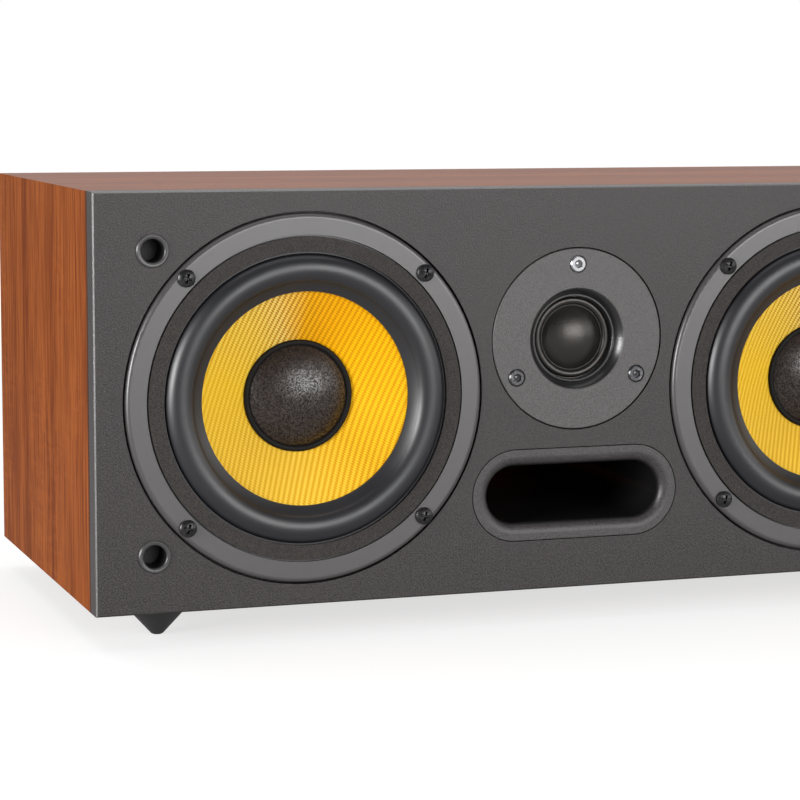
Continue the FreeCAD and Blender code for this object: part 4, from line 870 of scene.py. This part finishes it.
# The section runs from the bore's floor over the mouth, a quarter of a circle, and down the outside.
curve = np.linspace(0, np.pi / 2, 9)
mouth = np.stack([
    SOCKET_BORE + SOCKET_ROUND * (1 - np.sin(curve)),
    SOCKET_ROUND * (1 - np.cos(curve)) - SOCKET_PROUD,
], -1)
bore_floor = [(0, SOCKET_LENGTH - SOCKET_FLOOR), (SOCKET_BORE, SOCKET_LENGTH - SOCKET_FLOOR)]
socket_outside = [
    (SOCKET_RIM - SOCKET_EDGE, -SOCKET_PROUD),
    (SOCKET_RIM, SOCKET_EDGE - SOCKET_PROUD),
    (SOCKET_RIM, 0),
    (SOCKET_BODY, 0),
    (SOCKET_BODY, SOCKET_LENGTH),
    (0, SOCKET_LENGTH),
]
socket_section = np.concatenate([bore_floor, mouth[::-1], socket_outside])
lowest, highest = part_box("grille_sockets")
socket_spots = [
    (x, BAFFLE_FACE, z)
    for x in (lowest.x + SOCKET_RIM, highest.x - SOCKET_RIM)
    for z in (lowest.z + SOCKET_RIM, highest.z - SOCKET_RIM)
]
peg_socket = turned(socket_section, (0, 0, 0), 96)
sockets = welded("peg_sockets", *repeated(*peg_socket, socket_spots), socket_plastic("socket_plastic"))
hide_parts("grille_sockets")
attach(sockets, "cabinet")

# Terminal cup. A deep black moulding on a foam seal, screwed to the back; two gold-plated posts stand
# in it, nutted from inside, with a red and a black screw cap.
CUP_FACE, CUP_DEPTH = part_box("terminal_cup")[1].y, 0.028
CUP_SCREW_X, CUP_SCREW_Z = 0.039, 0.029
CUP_HEAD_RADIUS, CUP_HEAD_HEIGHT, CUP_HEAD_RIM = 0.0028, 0.0014, 0.0006
CUP_SHANK, CUP_SCREW_LENGTH = 0.0015, 0.014
cup_plastic = moulded("cup_plastic", (0.016, 0.016, 0.0165), rough=0.5, grain=800, depth=0.00008)
dress(cup_plastic, "terminal_cup")
dress(turned_metal("gold_plate", (0.88, 0.63, 0.26), rough=0.24), "positive_post", "negative_post")
dress(moulded("red_cap", (0.42, 0.012, 0.012), rough=0.22, depth=0.00001), "positive_cap")
dress(moulded("black_cap", (0.012, 0.012, 0.012), rough=0.22, depth=0.00001), "negative_cap")
foam = soft_rubber("seal_foam", (0.022, 0.022, 0.022), rough=0.9, grain=1300, depth=0.0002)
dress(foam, "terminal_seal", "driver_seals")
cup_spots = [
    (x, CUP_FACE, WOOFER_Z + z)
    for x in (-CUP_SCREW_X, CUP_SCREW_X)
    for z in (-CUP_SCREW_Z, CUP_SCREW_Z)
]
points, faces = cross_screw(CUP_HEAD_RADIUS, CUP_HEAD_HEIGHT, CUP_HEAD_RIM, CUP_SHANK, CUP_SCREW_LENGTH)
# Half a turn about Z points these screws into the back.
terminal_screws = welded("cup_screws", *repeated(points * (-1, -1, 1), faces, cup_spots), blackened)
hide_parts("terminal_screws")
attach(terminal_screws, "cabinet")

# Polarity marks. A plus and a minus moulded on the floor of the cup, below the posts, and picked out
# in pale paint with a small roller.
MARK_REACH, MARK_HALF_WIDTH, MARK_HEIGHT, MARK_DROP = 0.0032, 0.0008, 0.0006, 0.0160
CUP_FLOOR = CUP_FACE - CUP_DEPTH


def moulded_mark(arms, steps=144):
    """A raised sign: its outline is the nearer of an arm's end, a over cos d, and its flank, b over sin d.

    d is the angle from the nearest of two or four arms; the top is a little smaller than the foot."""
    angles = np.linspace(0, 2 * np.pi, steps + 1)
    period = 2 * np.pi / arms
    off = np.abs((angles + period / 2) % period - period / 2)
    arm_end = MARK_REACH / np.maximum(np.cos(off), 1e-6)
    flank = MARK_HALF_WIDTH / np.maximum(np.sin(off), 1e-6)
    radii = np.array([0, 1, 1, 0.9, 0])[:, None] * np.minimum(arm_end, flank)
    heights = np.broadcast_to(np.array([0, 0, 0.6, 1, 1])[:, None] * MARK_HEIGHT, radii.shape)
    return ringed(radii, heights)


mark_paint = moulded("mark_paint", (0.52, 0.52, 0.50), rough=0.5, grain=1500, lighter=1.2)
for name, post, arms in (("plus_mark", "positive_post", 4), ("minus_mark", "negative_post", 2)):
    lowest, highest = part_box(post)
    spot = ((lowest.x + highest.x) / 2, CUP_FLOOR, WOOFER_Z - MARK_DROP)
    mark = welded(name, *repeated(*moulded_mark(arms), [spot]), mark_paint)
    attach(mark, "cabinet")

# Crossover. Two air-core coils, two film capacitors and a ceramic resistor on a green board, which stands
# on nylon supports inside the rear panel. Insulated leads run from it to the cup and the drivers.
dress(card("circuit_board", (0.022, 0.085, 0.032), (0.035, 0.125, 0.048), weave=900), "crossover_board")
dress(moulded("capacitor_film", (0.035, 0.075, 0.26), rough=0.3), "crossover_capacitors")
dress(card("resistor_ceramic", (0.62, 0.60, 0.55), (0.78, 0.76, 0.71), weave=1800), "crossover_resistor")
dress(moulded("nylon_support", (0.72, 0.71, 0.66), rough=0.45, lighter=1.1), "board_supports")
dress(soft_rubber("lead_insulation", (0.25, 0.022, 0.022), rough=0.45), "internal_leads")

# Damping pads. Slabs of white polyester wadding, loosely felted, with rounded edges and dimpled faces,
# glued to the inside of the side panels.
PAD_INNER, PAD_SQUARENESS, PAD_CROWN, DIMPLE_DEPTH = 0.166, 0.32, 0.93, 0.03
PAD_ROWS, PAD_COLUMNS = 61, 121


def wadding(name):
    """Felted fibres: tangled pale strands with darker hollows."""
    material, wire = new_finish(name, Roughness=0.95)
    place = place_on(wire)
    strands = cloud(wire, place, 420, 5, 0.65, 2.5)
    feed(
        material,
        Base_Color=mixed(wire, strands, (0.50, 0.49, 0.47), (0.84, 0.83, 0.80)),
        Normal=bumped(wire, strands, 0.0015, 0.8),
    )
    return material


pad_wadding = wadding("wadding")
# A ball whose directions are pushed towards a box by a root of each part, dimpled by two waves.
polar, round_axis = np.meshgrid(
    np.linspace(0, np.pi, PAD_ROWS),
    np.linspace(0, 2 * np.pi, PAD_COLUMNS),
    indexing="ij",
)
way = np.stack([np.cos(polar), np.sin(polar) * np.cos(round_axis), np.sin(polar) * np.sin(round_axis)], -1)
boxy = np.sign(way) * np.abs(way) ** PAD_SQUARENESS
boxy = boxy / np.maximum(np.abs(boxy).max(-1, keepdims=True), PAD_CROWN)
dimples = 1 - DIMPLE_DEPTH * (1 + np.sin(9 * boxy[..., 1] + 2) * np.cos(8 * boxy[..., 2]))
boxy = boxy * np.stack([dimples, np.ones_like(dimples), np.ones_like(dimples)], -1)
lowest, highest = (np.array(corner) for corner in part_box("damping_pads"))
for sign, side in ((-1, "left"), (1, "right")):
    ends = np.array([(PAD_INNER * sign, *lowest[1:]), (highest[0] * sign, *highest[1:])])
    points = ends.mean(0) + boxy * np.abs(ends[1] - ends[0]) / 2
    pad = welded(f"{side}_damping_pad", points, grid_faces(PAD_ROWS, PAD_COLUMNS), pad_wadding)
    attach(pad, "cabinet")
    if sign < 0:
        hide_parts("damping_pads")

# Studio. A wide pale floor that meets a white surround, a large soft lamp overhead, soft lamps to the left
# and the front right, and the camera in front and to the left, a little above the box.
FLOOR_HALF, FLOOR_NEAR, FLOOR_FAR, FLOOR_MIRRORED = 40, 0.35, 1.6, 0.25
FLOOR_GREY, FLOOR_DARK = (0.42, 0.42, 0.42), (0.02, 0.02, 0.02)
FILL_GLOW, BACK_GLOW, BAND_GLOW = 0.13, 0.8, 1.7
LAMP_AIM = (0, 0, 0.1)
floor_corners = [(x * FLOOR_HALF, y * FLOOR_HALF, 0) for x, y in ((-1, -1), (1, -1), (1, 1), (-1, 1))]
floor_mesh = bpy.data.meshes.new("floor")
floor_mesh.from_pydata(floor_corners, [], [(0, 1, 2, 3)])
floor = bpy.data.objects.new("floor", floor_mesh)
bpy.context.scene.collection.objects.link(floor)
floor_paint = bpy.data.materials.new("floor_paint")
floor_paint.use_nodes = True
floor_paint.node_tree.nodes.clear()
wire = Wire(floor_paint.node_tree)
seen = wire.node("LightPath", output="Is Camera Ray")
for kind in ("Is Glossy Ray", "Is Transmission Ray"):
    seen = wire.math("MAXIMUM", seen, wire.node("LightPath", output=kind) * FLOOR_MIRRORED)
away = wire.node("VectorMath", {"operation": "LENGTH"}, {0: place_on(wire)}, output="Value")
faded = smooth(wire, away, FLOOR_NEAR, FLOOR_FAR)
glow = mixed_value(faded, 0.68, 1.0) * seen
lit_floor = wire.node("BsdfDiffuse", None, {"Color": mixed(wire, faded, FLOOR_GREY, FLOOR_DARK)})
bright = wire.node("Emission", None, {"Color": (1, 1, 1, 1), "Strength": glow})
both = wire.node("AddShader", None, {0: lit_floor, 1: bright})
wire.tree.links.new(both.socket, wire.tree.nodes.new("ShaderNodeOutputMaterial").inputs["Surface"])
floor_mesh.materials.append(floor_paint)

world = bpy.data.worlds.new("studio")
bpy.context.scene.world = world
world.use_nodes = True
world.node_tree.nodes.clear()
wire = Wire(world.node_tree)
seen = wire.node("LightPath", output="Is Camera Ray")
way = wire.node("TexCoord")


def facing(direction):
    """How far a direction of the surround turns towards a given one, from -1 to 1."""
    return wire.node("VectorMath", {"operation": "DOT_PRODUCT"}, {0: way, 1: direction}, output="Value")


# A bright band at the height of the box to the front right, and a glow from behind; a mirror that faces
# the back right sees plain white, as the camera does.
level = smooth(wire, wire.math("ABSOLUTE", facing((0, 0, 1))), 0.62, 0.12)
band = smooth(wire, facing((0.77, -0.64, 0)), 0.0, 0.9) * level
mirrored = smooth(wire, facing((0.6, 0.8, 0)), 0.55, 0.95)
for kind in ("Is Glossy Ray", "Is Transmission Ray"):
    seen = wire.math("MAXIMUM", seen, wire.node("LightPath", output=kind) * mirrored)
glow = FILL_GLOW + smooth(wire, facing((0, 1, 0)), 0.0, 0.8) * BACK_GLOW + band * BAND_GLOW
sky = wire.node("Background", None, {"Color": (1, 1, 1, 1), "Strength": mixed_value(seen, glow, 1.0)})
wire.tree.links.new(sky.socket, wire.tree.nodes.new("ShaderNodeOutputWorld").inputs["Surface"])


def soft_lamp(name, place, size, power):
    """An area lamp aimed at the box, unseen by the camera."""
    lamp = bpy.data.lights.new(name, "AREA")
    lamp.shape = "RECTANGLE"
    lamp.size, lamp.size_y = size
    lamp.energy = power
    thing = bpy.data.objects.new(name, lamp)
    bpy.context.scene.collection.objects.link(thing)
    thing.location = place
    back = np.array(place) - LAMP_AIM
    thing.rotation_euler = (
        math.acos(back[2] / np.linalg.norm(back)),
        0,
        math.atan2(back[1], back[0]) + math.pi / 2,
    )
    thing.visible_camera = False


soft_lamp("top_lamp", (0.0, 0.20, 1.6), size=(1.6, 1.2), power=9)
soft_lamp("left_lamp", (-1.37, -0.60, 0.31), size=(0.50, 0.60), power=18)
soft_lamp("front_lamp", (0.55, -1.64, 0.44), size=(1.3, 0.8), power=13)

camera_data = bpy.data.cameras.new("camera")
camera_data.sensor_width = 36
camera_data.lens = 117.872
camera = bpy.data.objects.new("camera", camera_data)
bpy.context.scene.collection.objects.link(camera)
camera.location = (-0.41955, -1.07335, 0.22524)
camera.rotation_euler = tuple(math.radians(angle) for angle in (82.8336, -0.2269, -19.2489))
bpy.context.scene.camera = camera
bpy.context.scene.view_settings.view_transform = "Standard"
